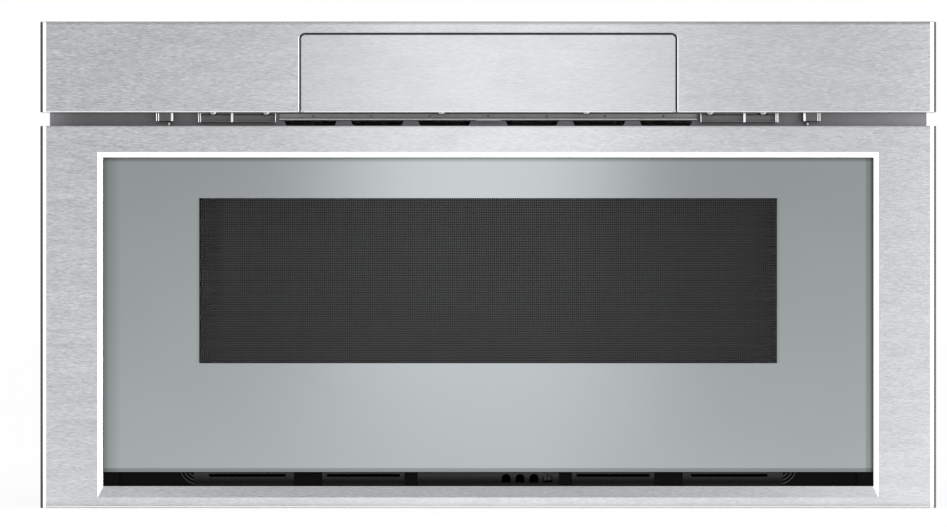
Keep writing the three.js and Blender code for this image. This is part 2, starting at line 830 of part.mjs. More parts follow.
// The flap's drive reaches through the flange.
const driveWindow = { x0: -155, x1: -95, z0: fasciaBottomZ + 11, z1: fasciaBottomZ + 37 };
const railSlot = { x0: innerWebX - 1, x1: memberX - RAIL.sheet, half: middleHalf + 1 };
const flangeBottom = -FLANGE.belowBase;
const flangeTop = fasciaTopZ - FLANGE.inset;
const flangeHalf = FRONT.width / 2 - FLANGE.inset;
const through = (x0, x1, z0, z1) => box(x0, x1, flangeFrontY - 1, faceY + 1, z0, z1);
const screwX = flangeHalf - FLANGE.screwInset;
const flangeCuts = [
  through(-mouth.halfWidth, mouth.halfWidth, mouth.bottom, mouth.top),
  through(driveX0 - 2, driveX1 + 2, DRIVE.bedZ - 1.5, pitchZ + ADDENDUM * DRIVE.module + 1.5),
  through(driveWindow.x0, driveWindow.x1, driveWindow.z0, driveWindow.z1),
  ...slotRow(6, 24, -150, (x) => through(x - 8, x + 8, 6, 30)),
  ...slotRow(6, 24, 215, (x) => through(x - 8, x + 8, 6, 30)),
  ...[-1, 1].flatMap((side) =>
    slotRow(VENTS.perSide, VENTS.pitch, side * (VENTS.midPitch + (VENTS.perSide - 1) * VENTS.pitch) / 2, (x) =>
      prism(ventPlan(x), "y", flangeFrontY - 1, faceY + 1),
    ),
  ),
  // Only the rim round the chassis lies on the cabinet's face.
  box(
    -chassisWidth / 2 - FIT,
    chassisWidth / 2 + FIT,
    faceY - FIT,
    faceY + 1,
    -FIT,
    chassisTopZ + FIT,
  ),
  ...slotRow(3, 150, chassisTopZ / 2, (z) =>
    join(...[-1, 1].map((side) =>
      bar("y", side * screwX, z, FLANGE.screwRadius, flangeFrontY - 1, faceY + 1, 10),
    )),
  ),
];
for (const side of [-1, 1]) {
  const across = (a, b) => [Math.min(side * a, side * b), Math.max(side * a, side * b)];
  flangeCuts.push(
    through(...across(railSlot.x0, railSlot.x1), RAIL.z - railSlot.half, RAIL.z + railSlot.half),
    through(
      ...across(latchX - hookSlotHalf, latchX + hookSlotHalf),
      hookSlotZ[0],
      hookSlotZ[1],
    ),
  );
}
add(
  cabinetShell,
  "front_flange",
  cut(
    box(-flangeHalf, flangeHalf, flangeFrontY, faceY, flangeBottom, flangeTop),
    ...flangeCuts,
  ),
  galvanised,
);

const baffleBackY = flangeFrontY - FIT;
const baffle = cut(
  join(
    box(
      -BAFFLE.halfWidth,
      BAFFLE.halfWidth,
      baffleBackY - BAFFLE.reach,
      baffleBackY,
      baffleZ,
      baffleZ + BAFFLE.sheet,
    ),
    box(
      -BAFFLE.halfWidth,
      BAFFLE.halfWidth,
      baffleBackY - BAFFLE.sheet,
      baffleBackY,
      baffleZ,
      baffleZ + BAFFLE.leg,
    ),
    box(-11, 11, baffleBackY - BAFFLE.reach, baffleBackY - BAFFLE.reach + 2, baffleZ - 1.8, baffleZ + 0.5),
  ),
  ...slotRow(BAFFLE.holes, BAFFLE.holePitch, 0, (x) =>
    bar("y", x, baffleZ + 2.8, 0.8, baffleBackY - 3, baffleBackY + 1, 8),
  ),
);
add(cabinetShell, "air_outlet_baffle", baffle, galvanised);

// ---------------------------------------------------------------------------
// Oven cavity, waveguide, stirrer and magnetron
// ---------------------------------------------------------------------------

const cavityFront = faceY + FIT;
const cavitySkin = CAVITY.sheet;
const cavity = cut(
  join(
    box(
      -mouth.halfWidth - cavitySkin,
      mouth.halfWidth + cavitySkin,
      cavityFront,
      cavityBackY,
      mouth.bottom - cavitySkin,
      ceilingTopZ,
    ),
    box(
      -mouth.halfWidth - CAVITY.lip,
      mouth.halfWidth + CAVITY.lip,
      cavityFront,
      cavityFront + cavitySkin,
      mouth.bottom - CAVITY.lip / 2,
      mouth.top + CAVITY.lip,
    ),
  ),
  box(
    -mouth.halfWidth,
    mouth.halfWidth,
    cavityFront - 1,
    cavityBackY - cavitySkin,
    mouth.bottom,
    mouth.top,
  ),
  bar("z", 0, stirrerY, STIRRER.holeRadius, mouth.top - 1, ceilingTopZ + 1, 32),
);
add(electrics, "oven_cavity", cavity, paintedCavity);

add(
  electrics,
  "stirrer_cover",
  bar("z", 0, stirrerY, STIRRER.coverRadius, mouth.top - FIT - 2, mouth.top - FIT, 32),
  mica,
);

const guideBottomZ = ceilingTopZ + FIT;
const guideTopZ = guideBottomZ + WAVEGUIDE.height;
const motorShaftHole = STIRRER.shaftRadius + 1;
const antennaRadius = 7;
const waveguide = cut(
  openBox(
    -WAVEGUIDE.width / 2,
    WAVEGUIDE.width / 2,
    stirrerY - WAVEGUIDE.ahead,
    magnetronMidY + WAVEGUIDE.behind,
    guideBottomZ,
    guideTopZ,
    WAVEGUIDE.sheet,
    "none",
  ),
  bar("z", 0, stirrerY, STIRRER.holeRadius, guideBottomZ - 1, guideBottomZ + 2, 32),
  bar("z", 0, stirrerY, motorShaftHole, guideTopZ - 2, guideTopZ + 1, 12),
  bar("z", 0, magnetronMidY, antennaRadius + 2, guideBottomZ - 1, guideBottomZ + 2, 16),
);
add(electrics, "waveguide", waveguide, aluminium);

const stirrerZ = guideBottomZ + 8;
const stirrerMotor = join(
  bar("z", 0, stirrerY, 24, guideTopZ + FIT, guideTopZ + FIT + 18),
  bar("z", 0, stirrerY, STIRRER.shaftRadius, stirrerZ - 1, guideTopZ + 2, 12),
);
add(electrics, "stirrer_motor", stirrerMotor, blackPlastic);

// A blade pitched about its own radius, standing out from the z axis at an angle.
function blade(turn, inner, outer, chord, sheet, pitch) {
  const geometry = new THREE.BoxGeometry(outer - inner, chord, sheet);
  geometry.translate((inner + outer) / 2, 0, 0);
  geometry.rotateX(pitch).rotateZ(turn);
  return solid(geometry);
}

function bladedWheel(blades, bladeOf, hubRadius, hubLength, bore) {
  const arms = Array.from({ length: blades }, (_, i) => bladeOf((i / blades) * 2 * Math.PI));
  return join(bar("z", 0, 0, hubRadius, -hubLength / 2, hubLength / 2), ...arms).subtract(
    bar("z", 0, 0, bore, -hubLength, hubLength, 16),
  );
}

const stirrerWheel = bladedWheel(
  4,
  (turn) => blade(turn, STIRRER.shaftRadius + 2, STIRRER.radius, 26, 1, 0.2),
  8,
  10,
  STIRRER.shaftRadius + FIT,
);
add(electrics, "stirrer", stirrerWheel, aluminium).position.set(0, stirrerY, stirrerZ + 5);

const magnetronTop = guideBottomZ - FIT;
const magnetronY = [magnetronMidY - MAGNETRON.depth / 2, magnetronMidY + MAGNETRON.depth / 2];
const magnetronBottom = magnetronTop - MAGNETRON.height;
const half = MAGNETRON.width / 2;
const coolingFins = slotRow(6, 12, magnetronTop - MAGNETRON.height / 2, (z) =>
  box(-half + 2, half - 2, magnetronY[0], magnetronY[1], z - 0.6, z + 0.6),
);
add(
  electrics,
  "magnetron",
  join(
    openBox(-half, half, magnetronY[0], magnetronY[1], magnetronBottom, magnetronTop, 2, "none").subtract(
      box(-half + 2, half - 2, magnetronY[0] - 1, magnetronY[1] + 1, magnetronBottom + 2, magnetronTop - 2),
    ),
    ...coolingFins,
    bar("z", 0, magnetronMidY, 21, magnetronBottom, magnetronTop),
    bar("z", 0, magnetronMidY, antennaRadius, magnetronTop - 1, magnetronTop + 18, 16),
    box(-28, 28, magnetronMidY - 24, magnetronMidY + 24, magnetronBottom - 24, magnetronBottom + 1),
  ),
  aluminium,
);

// ---------------------------------------------------------------------------
// Cooling fan behind the magnetron
// ---------------------------------------------------------------------------

const ductFrontY = shellBackY - FAN.ductDepth;
const spider = { sheet: 3, arm: 8, discRadius: 16 };
const fanShaftRadius = 3;
const ductHalf = fanBore + 6;
const spiderArms = [0, 1, 2].map((i) => {
  const geometry = new THREE.BoxGeometry(fanBore + 3, spider.sheet, spider.arm);
  geometry.translate((fanBore + 3) / 2, 0, 0).rotateY(Math.PI / 2 + (i * 2 * Math.PI) / 3);
  return solid(geometry.translate(0, ductFrontY + spider.sheet / 2, FAN.z));
});
const duct = join(
  box(-ductHalf, ductHalf, ductFrontY, shellBackY, FAN.z - ductHalf, FAN.z + ductHalf).subtract(
    bar("y", 0, FAN.z, fanBore, ductFrontY - 1, shellBackY + 1, 40),
  ),
  bar("y", 0, FAN.z, spider.discRadius, ductFrontY, ductFrontY + spider.sheet),
  ...spiderArms,
).subtract(bar("y", 0, FAN.z, fanShaftRadius + 0.5, ductFrontY - 1, ductFrontY + 4, 16));
add(electrics, "fan_duct", duct, greyPlastic);

const hubFrontY = ductFrontY + spider.sheet + 2.5;
add(
  electrics,
  "fan_motor",
  join(
    bar("y", 0, FAN.z, 24, ductFrontY - FIT - 27, ductFrontY - FIT),
    bar("y", 0, FAN.z, fanShaftRadius, ductFrontY - 1, hubFrontY + FAN.hubLength + 2, 16),
  ),
  ironCore,
);
const fanWheel = bladedWheel(
  FAN.blades,
  (turn) => blade(turn, FAN.hubRadius - 3, FAN.radius, 30, 1.6, 0.42),
  FAN.hubRadius,
  FAN.hubLength,
  fanShaftRadius + FIT,
);
const fan = add(electrics, "cooling_fan", fanWheel, blackPlastic);
fan.rotation.x = -Math.PI / 2;
fan.position.set(0, hubFrontY + FAN.hubLength / 2, FAN.z);

// ---------------------------------------------------------------------------
// Power supply on the base plate, and the boards
// ---------------------------------------------------------------------------

const transformer = { x: 114 - innerHalfWidth, y: rearY - 73, length: 96, depth: 62, height: 80 };
add(
  electrics,
  "high_voltage_transformer",
  join(
    box(
      transformer.x - transformer.length / 2 - 14,
      transformer.x + transformer.length / 2 + 14,
      transformer.y - transformer.depth / 2,
      transformer.y + transformer.depth / 2,
      baseTop,
      baseTop + 2,
    ),
    box(
      transformer.x - transformer.length / 2,
      transformer.x + transformer.length / 2,
      transformer.y - 20,
      transformer.y + 20,
      baseTop + 1,
      baseTop + transformer.height,
    ),
    box(
      transformer.x - 32,
      transformer.x + 32,
      transformer.y - 42,
      transformer.y + 42,
      baseTop + 14,
      baseTop + transformer.height - 14,
    ),
  ),
  ironCore,
);

const capacitor = { x: 244 - innerHalfWidth, y: rearY - 66, width: 52, depth: 32, height: 88 };
add(
  electrics,
  "high_voltage_capacitor",
  join(
    prism(
      roundedRect(
        capacitor.x - capacitor.width / 2,
        capacitor.x + capacitor.width / 2,
        capacitor.y - capacitor.depth / 2,
        capacitor.y + capacitor.depth / 2,
        capacitor.depth / 2 - 1,
      ),
      "z",
      baseTop,
      baseTop + capacitor.height,
    ),
    ...[-1, 1].map((side) =>
      box(
        capacitor.x + side * 12 - 3,
        capacitor.x + side * 12 + 3,
        capacitor.y - 0.5,
        capacitor.y + 0.5,
        baseTop + capacitor.height - 1,
        baseTop + capacitor.height + 10,
      ),
    ),
  ),
  aluminium,
);

// A board on four posts: parts is a list of [x, y, width, depth, height] from its centre.
function boardOnPosts(cx, cy, width, depth, postBottom, boardBottom, parts) {
  const board = box(
    cx - width / 2,
    cx + width / 2,
    cy - depth / 2,
    cy + depth / 2,
    boardBottom,
    boardBottom + 1.6,
  );
  const posts = [-1, 1].flatMap((sx) =>
    [-1, 1].map((sy) =>
      bar(
        "z",
        cx + sx * (width / 2 - 6),
        cy + sy * (depth / 2 - 6),
        3,
        postBottom,
        boardBottom + 0.5,
        8,
      ),
    ),
  );
  const blocks = parts.map(([x, y, w, d, h]) =>
    box(
      cx + x - w / 2,
      cx + x + w / 2,
      cy + y - d / 2,
      cy + y + d / 2,
      boardBottom + 1,
      boardBottom + 1.6 + h,
    ),
  );
  return join(board, ...posts, ...blocks);
}

add(
  electrics,
  "filter_board",
  boardOnPosts(innerHalfWidth - 94, rearY - 66, 110, 70, baseTop, baseTop + 10, [
    [-30, 5, 30, 30, 26],
    [10, -8, 18, 28, 22],
    [38, 12, 22, 12, 16],
  ]),
  circuitBoard,
);

const boardTray = { besideGuide: 20, behindFace: 26, width: 170, depth: 150, sheet: 2.5 };
boardTray.x = -WAVEGUIDE.width / 2 - boardTray.besideGuide - boardTray.width / 2;
boardTray.y = faceY + boardTray.behindFace + boardTray.depth / 2;
const boardTrayZ = ceilingTopZ + FIT;
add(
  electrics,
  "board_tray",
  openBox(
    boardTray.x - boardTray.width / 2,
    boardTray.x + boardTray.width / 2,
    boardTray.y - boardTray.depth / 2,
    boardTray.y + boardTray.depth / 2,
    boardTrayZ,
    boardTrayZ + 14,
    boardTray.sheet,
    "+z",
  ),
  whitePlastic,
);
add(
  electrics,
  "main_board",
  boardOnPosts(
    boardTray.x,
    boardTray.y,
    boardTray.width - 12,
    boardTray.depth - 12,
    boardTrayZ + boardTray.sheet + FIT,
    boardTrayZ + boardTray.sheet + 8,
    [
      [-50, 35, 40, 34, 30],
      [-10, 40, 18, 18, 24],
      [20, 40, 20, 16, 20],
      [50, 30, 18, 40, 16],
      [0, -20, 30, 30, 5],
      [-50, -35, 24, 12, 10],
    ],
  ),
  circuitBoard,
);

// ---------------------------------------------------------------------------
// Control strip over the drawer, and its brackets in the gap
// ---------------------------------------------------------------------------

const stripUnderZ = fasciaBottomZ + FRONT.skin;
const flapOpening = {
  halfWidth: FLAP.width / 2 + FLAP.gap,
  top: fasciaBottomZ + FLAP.height + FLAP.gap,
};
const STRIP_MOUNT = { x0: 267.7, x1: 282.3, belowStrip: 7.4, depth: 17 };
const stripMountBottomZ = fasciaBottomZ - STRIP_MOUNT.belowStrip;
const stripMountFrontY = flangeFrontY - FIT - STRIP_MOUNT.depth;
const fasciaNotches = [-1, 1].map((side) => {
  const [x0, x1] = side > 0 ? [STRIP_MOUNT.x0, STRIP_MOUNT.x1] : [-STRIP_MOUNT.x1, -STRIP_MOUNT.x0];
  return box(
    x0 - FIT,
    x1 + FIT,
    stripMountFrontY - FIT,
    panelBackY + 1,
    fasciaBottomZ - 1,
    stripUnderZ + 1,
  );
});
add(
  controlUnit,
  "control_fascia",
  cut(
    frontPanelShell(fasciaBottomZ, fasciaTopZ),
    prism(
      roundedRect(
        -flapOpening.halfWidth,
        flapOpening.halfWidth,
        fasciaBottomZ - 1,
        flapOpening.top,
        0,
        FLAP.cornerRadius + FLAP.gap,
      ),
      "y",
      frontY - 1,
      frontY + FRONT.skin + 1,
    ),
    box(
      -flapOpening.halfWidth,
      flapOpening.halfWidth,
      frontY - 1,
      panelBackY + 1,
      fasciaBottomZ - 1,
      stripUnderZ + 1,
    ),
    ...fasciaNotches,
  ),
  brushedSteel,
);

addPair(
  controlUnit,
  "strip_mount",
  openBox(
    STRIP_MOUNT.x0,
    STRIP_MOUNT.x1,
    stripMountFrontY,
    flangeFrontY - FIT,
    stripMountBottomZ,
    flangeTop - 1,
    1.2,
    "+z",
  ).add(
    box(
      STRIP_MOUNT.x0,
      STRIP_MOUNT.x1,
      stripMountFrontY,
      panelBackY,
      flangeTop - 2,
      fasciaTopZ - FRONT.skin - FIT,
    ),
  ),
  galvanised,
);

const locatingPin = { x: STRIP_MOUNT.x0 + 4, radius: 1.6, y: flangeFrontY - 7.5, aboveDrawer: 0.6 };
addPair(
  controlUnit,
  "locating_pin",
  bar(
    "z",
    locatingPin.x,
    locatingPin.y,
    locatingPin.radius,
    drawerTopZ + locatingPin.aboveDrawer,
    stripMountBottomZ - FIT,
    12,
  ),
  brushedSteel,
);

// A folded channel under the strip, against the flange.
const GAP_BRACKET = { x0: 180.3, x1: 245.5, belowStrip: 8.3, depth: 15, sheet: 1.2 };
const gapBracketZ = fasciaBottomZ - GAP_BRACKET.belowStrip;
const gapBracketTop = fasciaBottomZ - FIT;
const gapBracketOutline = [
  [flangeFrontY - FIT, gapBracketZ],
  [flangeFrontY - FIT, gapBracketTop],
  [flangeFrontY - FIT - GAP_BRACKET.depth, gapBracketTop],
  [flangeFrontY - FIT - GAP_BRACKET.depth, gapBracketTop - GAP_BRACKET.sheet],
  [flangeFrontY - FIT - GAP_BRACKET.sheet, gapBracketTop - GAP_BRACKET.sheet],
  [flangeFrontY - FIT - GAP_BRACKET.sheet, gapBracketZ + GAP_BRACKET.sheet],
  [flangeFrontY - FIT - GAP_BRACKET.depth, gapBracketZ + GAP_BRACKET.sheet],
  [flangeFrontY - FIT - GAP_BRACKET.depth, gapBracketZ],
];
addPair(
  controlUnit,
  "gap_bracket",
  prism(gapBracketOutline.reverse(), "x", GAP_BRACKET.x0, GAP_BRACKET.x1),
  galvanised,
);

// ---------------------------------------------------------------------------
// Control flap: it stands on a hinge at its lower edge, and its top swings out
// ---------------------------------------------------------------------------

const hingeY = frontY + FLAP_HINGE.behindFace;
const hingeZ = fasciaBottomZ + FLAP_HINGE.aboveEdge;
const flapHalf = FLAP.width / 2;
const flapTopZ = fasciaBottomZ + FLAP.height;
const flapPlan = (inset) =>
  roundedRect(
    -flapHalf + inset,
    flapHalf - inset,
    fasciaBottomZ + inset,
    flapTopZ - inset,
    0,
    Math.max(FLAP.cornerRadius - inset, 1),
  );
add(
  controlUnit,
  "flap_cover",
  prism(flapPlan(0), "y", frontY, frontY + FLAP.depth).subtract(
    prism(flapPlan(FLAP.skin), "y", frontY + FLAP.skin, frontY + FLAP.depth + 1),
  ),
  brushedSteel,
);

const carrierBackY = frontY + FLAP.carrierBack;
const bracketX0 = flapOpening.halfWidth + 1;
const bracketSheet = 3;
const stubEndX = bracketX0 + bracketSheet + 1;
add(
  controlUnit,
  "flap_carrier",
  prism(flapPlan(FLAP.skin + FIT), "y", frontY + FLAP.skin + FIT, carrierBackY).add(
    bar("x", hingeY, hingeZ, FLAP_HINGE.pinRadius, -stubEndX, stubEndX, 16),
  ),
  blackPlastic,
);

const controlGlass = { halfWidth: 140, bottom: 12, height: 49, thickness: 2 };
add(
  controlUnit,
  "control_glass",
  box(
    -controlGlass.halfWidth,
    controlGlass.halfWidth,
    carrierBackY + FIT,
    carrierBackY + FIT + controlGlass.thickness,
    fasciaBottomZ + controlGlass.bottom,
    fasciaBottomZ + controlGlass.bottom + controlGlass.height,
  ),
  blackGlass,
);

addPair(
  controlUnit,
  "flap_bracket",
  prism(
    roundedRect(frontY + FRONT.skin + FIT, frontY + 23, stripUnderZ + FIT, stripUnderZ + 26, 0, 5),
    "x",
    bracketX0,
    bracketX0 + bracketSheet,
  ).subtract(
    bar("x", hingeY, hingeZ, FLAP_HINGE.pinRadius + FIT, bracketX0 - 1, bracketX0 + 5, 16),
  ),
  greyPlastic,
);

// A toothed sector on the flap's back meshes with the pinion of the flap's motor.
const sectorRadius = (FLAP_GEAR.module * FLAP_GEAR.sectorTeeth) / 2;
const flapPinionRadius = (FLAP_GEAR.module * FLAP_GEAR.pinionTeeth) / 2;
const meshAngle = THREE.MathUtils.degToRad(FLAP_GEAR.meshDeg);
const sectorX0 = -controlGlass.halfWidth - 12;
const sectorX1 = sectorX0 + FLAP_GEAR.width;
const sectorOutline = gearPoints({
  module: FLAP_GEAR.module,
  teeth: FLAP_GEAR.sectorTeeth,
  backlash: FLAP_GEAR.backlash,
  phase: meshAngle,
  firstTooth: -6,
  count: 8,
});
const sector = cut(
  prism([[0, -4], ...sectorOutline, [0, 18]], "x", sectorX0, sectorX1),
  box(sectorX0 - 1, sectorX1 + 1, -30, carrierBackY + FIT - hingeY, -30, 30),
  bar("x", 0, 0, FLAP_HINGE.pinRadius + FIT, sectorX0 - 1, sectorX1 + 1, 16),
);
add(controlUnit, "flap_sector_gear", sector, whitePlastic).position.set(0, hingeY, hingeZ);

const flapDriveY = hingeY + (sectorRadius + flapPinionRadius) * Math.cos(meshAngle);
const flapDriveZ = hingeZ + (sectorRadius + flapPinionRadius) * Math.sin(meshAngle);
const flapShaftRadius = 2;
const flapPinion = prism(
  gearPoints({
    module: FLAP_GEAR.module,
    teeth: FLAP_GEAR.pinionTeeth,
    backlash: FLAP_GEAR.backlash,
    phase: meshAngle + Math.PI + Math.PI / FLAP_GEAR.pinionTeeth,
  }),
  "x",
  sectorX0 - 0.5,
  sectorX1 + 0.5,
).subtract(bar("x", 0, 0, flapShaftRadius + FIT, sectorX0 - 2, sectorX1 + 2, 12));
add(controlUnit, "flap_pinion", flapPinion, whitePlastic).position.set(0, flapDriveY, flapDriveZ);

const flapMotorX = sectorX1 + 3;
const flapMotorLength = 34;
add(
  controlUnit,
  "flap_motor",
  join(
    bar("x", flapDriveY, flapDriveZ, 12, flapMotorX, flapMotorX + flapMotorLength),
    bar("x", flapDriveY, flapDriveZ, flapShaftRadius, sectorX0 - 3, flapMotorX + 1, 12),
    box(
      flapMotorX + flapMotorLength - 2,
      driveWindow.x1 + 10,
      flangeFrontY - FIT - 1.5,
      flangeFrontY - FIT,
      flapDriveZ - 7,
      flapDriveZ + 7,
    ),
  ),
  blackPlastic,
);

export default microwaveDrawer;
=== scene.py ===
"""Looks of a built-in microwave drawer, laid out as an add-on and run as a script."""

import json
import math

import bpy
import bmesh
import numpy as np
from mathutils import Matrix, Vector


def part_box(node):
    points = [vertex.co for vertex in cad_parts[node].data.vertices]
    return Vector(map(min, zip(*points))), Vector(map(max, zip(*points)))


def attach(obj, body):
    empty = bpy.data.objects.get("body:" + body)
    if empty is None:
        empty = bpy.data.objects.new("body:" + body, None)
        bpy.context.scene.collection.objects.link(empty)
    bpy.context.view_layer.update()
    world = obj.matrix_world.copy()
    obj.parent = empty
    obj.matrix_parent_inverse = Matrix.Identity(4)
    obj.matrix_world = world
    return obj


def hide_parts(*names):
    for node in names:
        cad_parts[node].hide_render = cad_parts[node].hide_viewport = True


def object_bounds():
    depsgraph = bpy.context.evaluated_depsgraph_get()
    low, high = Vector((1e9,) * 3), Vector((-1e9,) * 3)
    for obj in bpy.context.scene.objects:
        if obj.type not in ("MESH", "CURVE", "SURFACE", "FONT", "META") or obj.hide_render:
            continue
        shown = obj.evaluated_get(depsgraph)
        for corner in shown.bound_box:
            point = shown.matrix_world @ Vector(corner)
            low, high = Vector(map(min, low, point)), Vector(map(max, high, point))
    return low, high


bl_info = {
    "name": "Microwave Drawer",
    "version": (1, 0, 0),
    "blender": (4, 5, 0),
    "location": "3D View > Sidebar > Drawer",
    "description": "Finishes a built-in microwave drawer, one operator for each group of pieces",
    "category": "Object",
}

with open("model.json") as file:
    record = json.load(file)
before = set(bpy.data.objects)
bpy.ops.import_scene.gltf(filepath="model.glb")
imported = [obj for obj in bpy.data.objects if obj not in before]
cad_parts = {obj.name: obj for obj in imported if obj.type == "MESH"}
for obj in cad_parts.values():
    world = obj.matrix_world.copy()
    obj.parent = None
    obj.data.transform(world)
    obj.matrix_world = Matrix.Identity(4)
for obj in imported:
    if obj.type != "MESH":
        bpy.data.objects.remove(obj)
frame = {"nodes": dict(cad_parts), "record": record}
CAD_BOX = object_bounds()
NODES = frame["nodes"]
GROUPS = frame["record"]["behaviour"]["bodies"]
BODY_OF = {node: body for body, members in GROUPS.items() for node in members}
SLOT_OF = {part["node"]: part["material_slot"] for part in frame["record"]["subparts"]}
MM = 0.001
WINDOW_LAP = 10 * MM
HEM_END = CAD_BOX[1][0] - 5.5 * MM
HEM_RADIUS = 0.45 * MM


# ---------------------------------------------------------------- mesh helpers


def mesh_object(name, points, faces, material, smooth=False):
    """A new object at the origin from an array of points in metres and a list of faces."""
    mesh = bpy.data.meshes.new(name)
    mesh.from_pydata(np.asarray(points, dtype=float).tolist(), [], [list(f) for f in faces])
    mesh.validate()
    mesh.update()
    if smooth:
        mesh.polygons.foreach_set("use_smooth", [True] * len(mesh.polygons))
    piece = bpy.data.objects.new(name, mesh)
    bpy.context.scene.collection.objects.link(piece)
    piece.data.materials.append(material)
    return piece


def finish_piece(piece, body):
    """Rides a new piece on its body."""
    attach(piece, body)
    return piece


def grid_faces(rows, columns, close_rows=False, close_columns=False):
    """Quads of a rows by columns grid, each joining a point with its next neighbours both ways."""
    r = np.arange(rows if close_rows else rows - 1)
    c = np.arange(columns if close_columns else columns - 1)
    i, j = (k.ravel() for k in np.meshgrid(r, c, indexing="ij"))
    i2, j2 = (i + 1) % rows, (j + 1) % columns
    return np.stack([i * columns + j, i * columns + j2, i2 * columns + j2, i2 * columns + j], axis=1)


def surface(name, points, material, close_rows=False, close_columns=False, caps=False, smooth=True):
    """A surface from a rows x columns x 3 array. With caps, its first and last rows are closed flat."""
    rows, columns = points.shape[:2]
    faces = grid_faces(rows, columns, close_rows, close_columns).tolist()
    if caps:
        faces.append(list(range(columns))[::-1])
        faces.append([(rows - 1) * columns + k for k in range(columns)])
    piece = mesh_object(name, points.reshape(-1, 3), faces, material, smooth)
    outward(piece)
    return piece


def outward(piece):
    """Turns every face of a closed mesh outwards."""
    work = bmesh.new()
    work.from_mesh(piece.data)
    bmesh.ops.remove_doubles(work, verts=work.verts, dist=1e-7)
    bmesh.ops.recalc_face_normals(work, faces=work.faces)
    work.to_mesh(piece.data)
    work.free()
    piece.data.update()


def boxes(name, low, high, material):
    """Many upright boxes in one mesh. Corner k of each mixes low and high by k's three binary digits."""
    low, high = np.atleast_2d(low).astype(float), np.atleast_2d(high).astype(float)
    bits = np.array([[k >> 2 & 1, k >> 1 & 1, k & 1] for k in range(8)], dtype=float)
    points = low[:, None, :] * (1 - bits) + high[:, None, :] * bits
    quads = np.array([[0, 1, 3, 2], [4, 6, 7, 5], [0, 4, 5, 1], [2, 3, 7, 6], [0, 2, 6, 4], [1, 5, 7, 3]])
    faces = (np.arange(len(low))[:, None, None] * 8 + quads).reshape(-1, 4)
    return mesh_object(name, points.reshape(-1, 3), faces.tolist(), material)


def repeated(name, one, centres, material, smooth=False):
    """One closed rows x columns x 3 shape set at every centre, in one mesh."""
    rows, columns = one.shape[:2]
    centres = np.atleast_2d(centres).astype(float)
    points = centres[:, None, None, :] + one
    faces = grid_faces(rows, columns, close_columns=True)
    faces = np.arange(len(centres))[:, None, None] * rows * columns + faces
    piece = mesh_object(name, points.reshape(-1, 3), faces.reshape(-1, 4).tolist(), material, smooth)
    outward(piece)
    return piece


def soften(piece, width, angle=30, segments=2):
    """A bevel modifier that rounds the sharp edges by width, in metres."""
    bevel = piece.modifiers.new("edge", "BEVEL")
    bevel.width = width
    bevel.segments = segments
    bevel.limit_method = "ANGLE"
    bevel.angle_limit = math.radians(angle)
    bevel.use_clamp_overlap = True
    return piece


def finished_copy(node, material, width, angle=30, segments=2, smooth_angle=0, join_flats=True):
    """A merged copy of a CAD node, its flat faces joined and its edges softened, which stands for the node.

    With a smooth angle in degrees, faces that meet at less than it shade as one rounded surface.
    """
    mesh = NODES[node].data.copy()
    mesh.materials.clear()
    mesh.materials.append(material)
    work = bmesh.new()
    work.from_mesh(mesh)
    bmesh.ops.remove_doubles(work, verts=work.verts, dist=2e-6)
    if join_flats:
        bmesh.ops.dissolve_limit(work, angle_limit=math.radians(1), verts=work.verts, edges=work.edges)
    if smooth_angle:
        for face in work.faces:
            face.smooth = True
        for edge in work.edges:
            edge.smooth = edge.calc_face_angle(math.pi) < math.radians(smooth_angle)
    work.to_mesh(mesh)
    work.free()
    mesh.name = node + "_finish"
    piece = bpy.data.objects.new(node + "_finish", mesh)
    bpy.context.scene.collection.objects.link(piece)
    if width:
        soften(piece, width, angle, segments)
    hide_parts(node)
    DRESSED.add(node)
    return finish_piece(piece, BODY_OF[node])


DRESSED = set()


def dress(name, material):
    """Gives a CAD node its material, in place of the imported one."""
    DRESSED.add(name)
    node = NODES[name]
    if not node.material_slots:
        node.data.materials.append(material)
    for place in node.material_slots:
        place.material = material


# ---------------------------------------------------------------- sizes and colours


def colour(label, description, default):
    """A colour property in linear light."""
    return bpy.props.FloatVectorProperty(
        name=label, description=description, default=default, subtype="COLOR", size=3, min=0, max=1
    )


def length(label, description, default):
    """A length property in metres, shown in the scene's unit."""
    return bpy.props.FloatProperty(
        name=label, description=description, default=default, subtype="DISTANCE", unit="LENGTH", min=0
    )


def factor(label, description, default, highest=1.0):
    """A plain number property from zero to its highest value."""
    return bpy.props.FloatProperty(
        name=label, description=description, default=default, min=0, max=highest, subtype="FACTOR"
    )


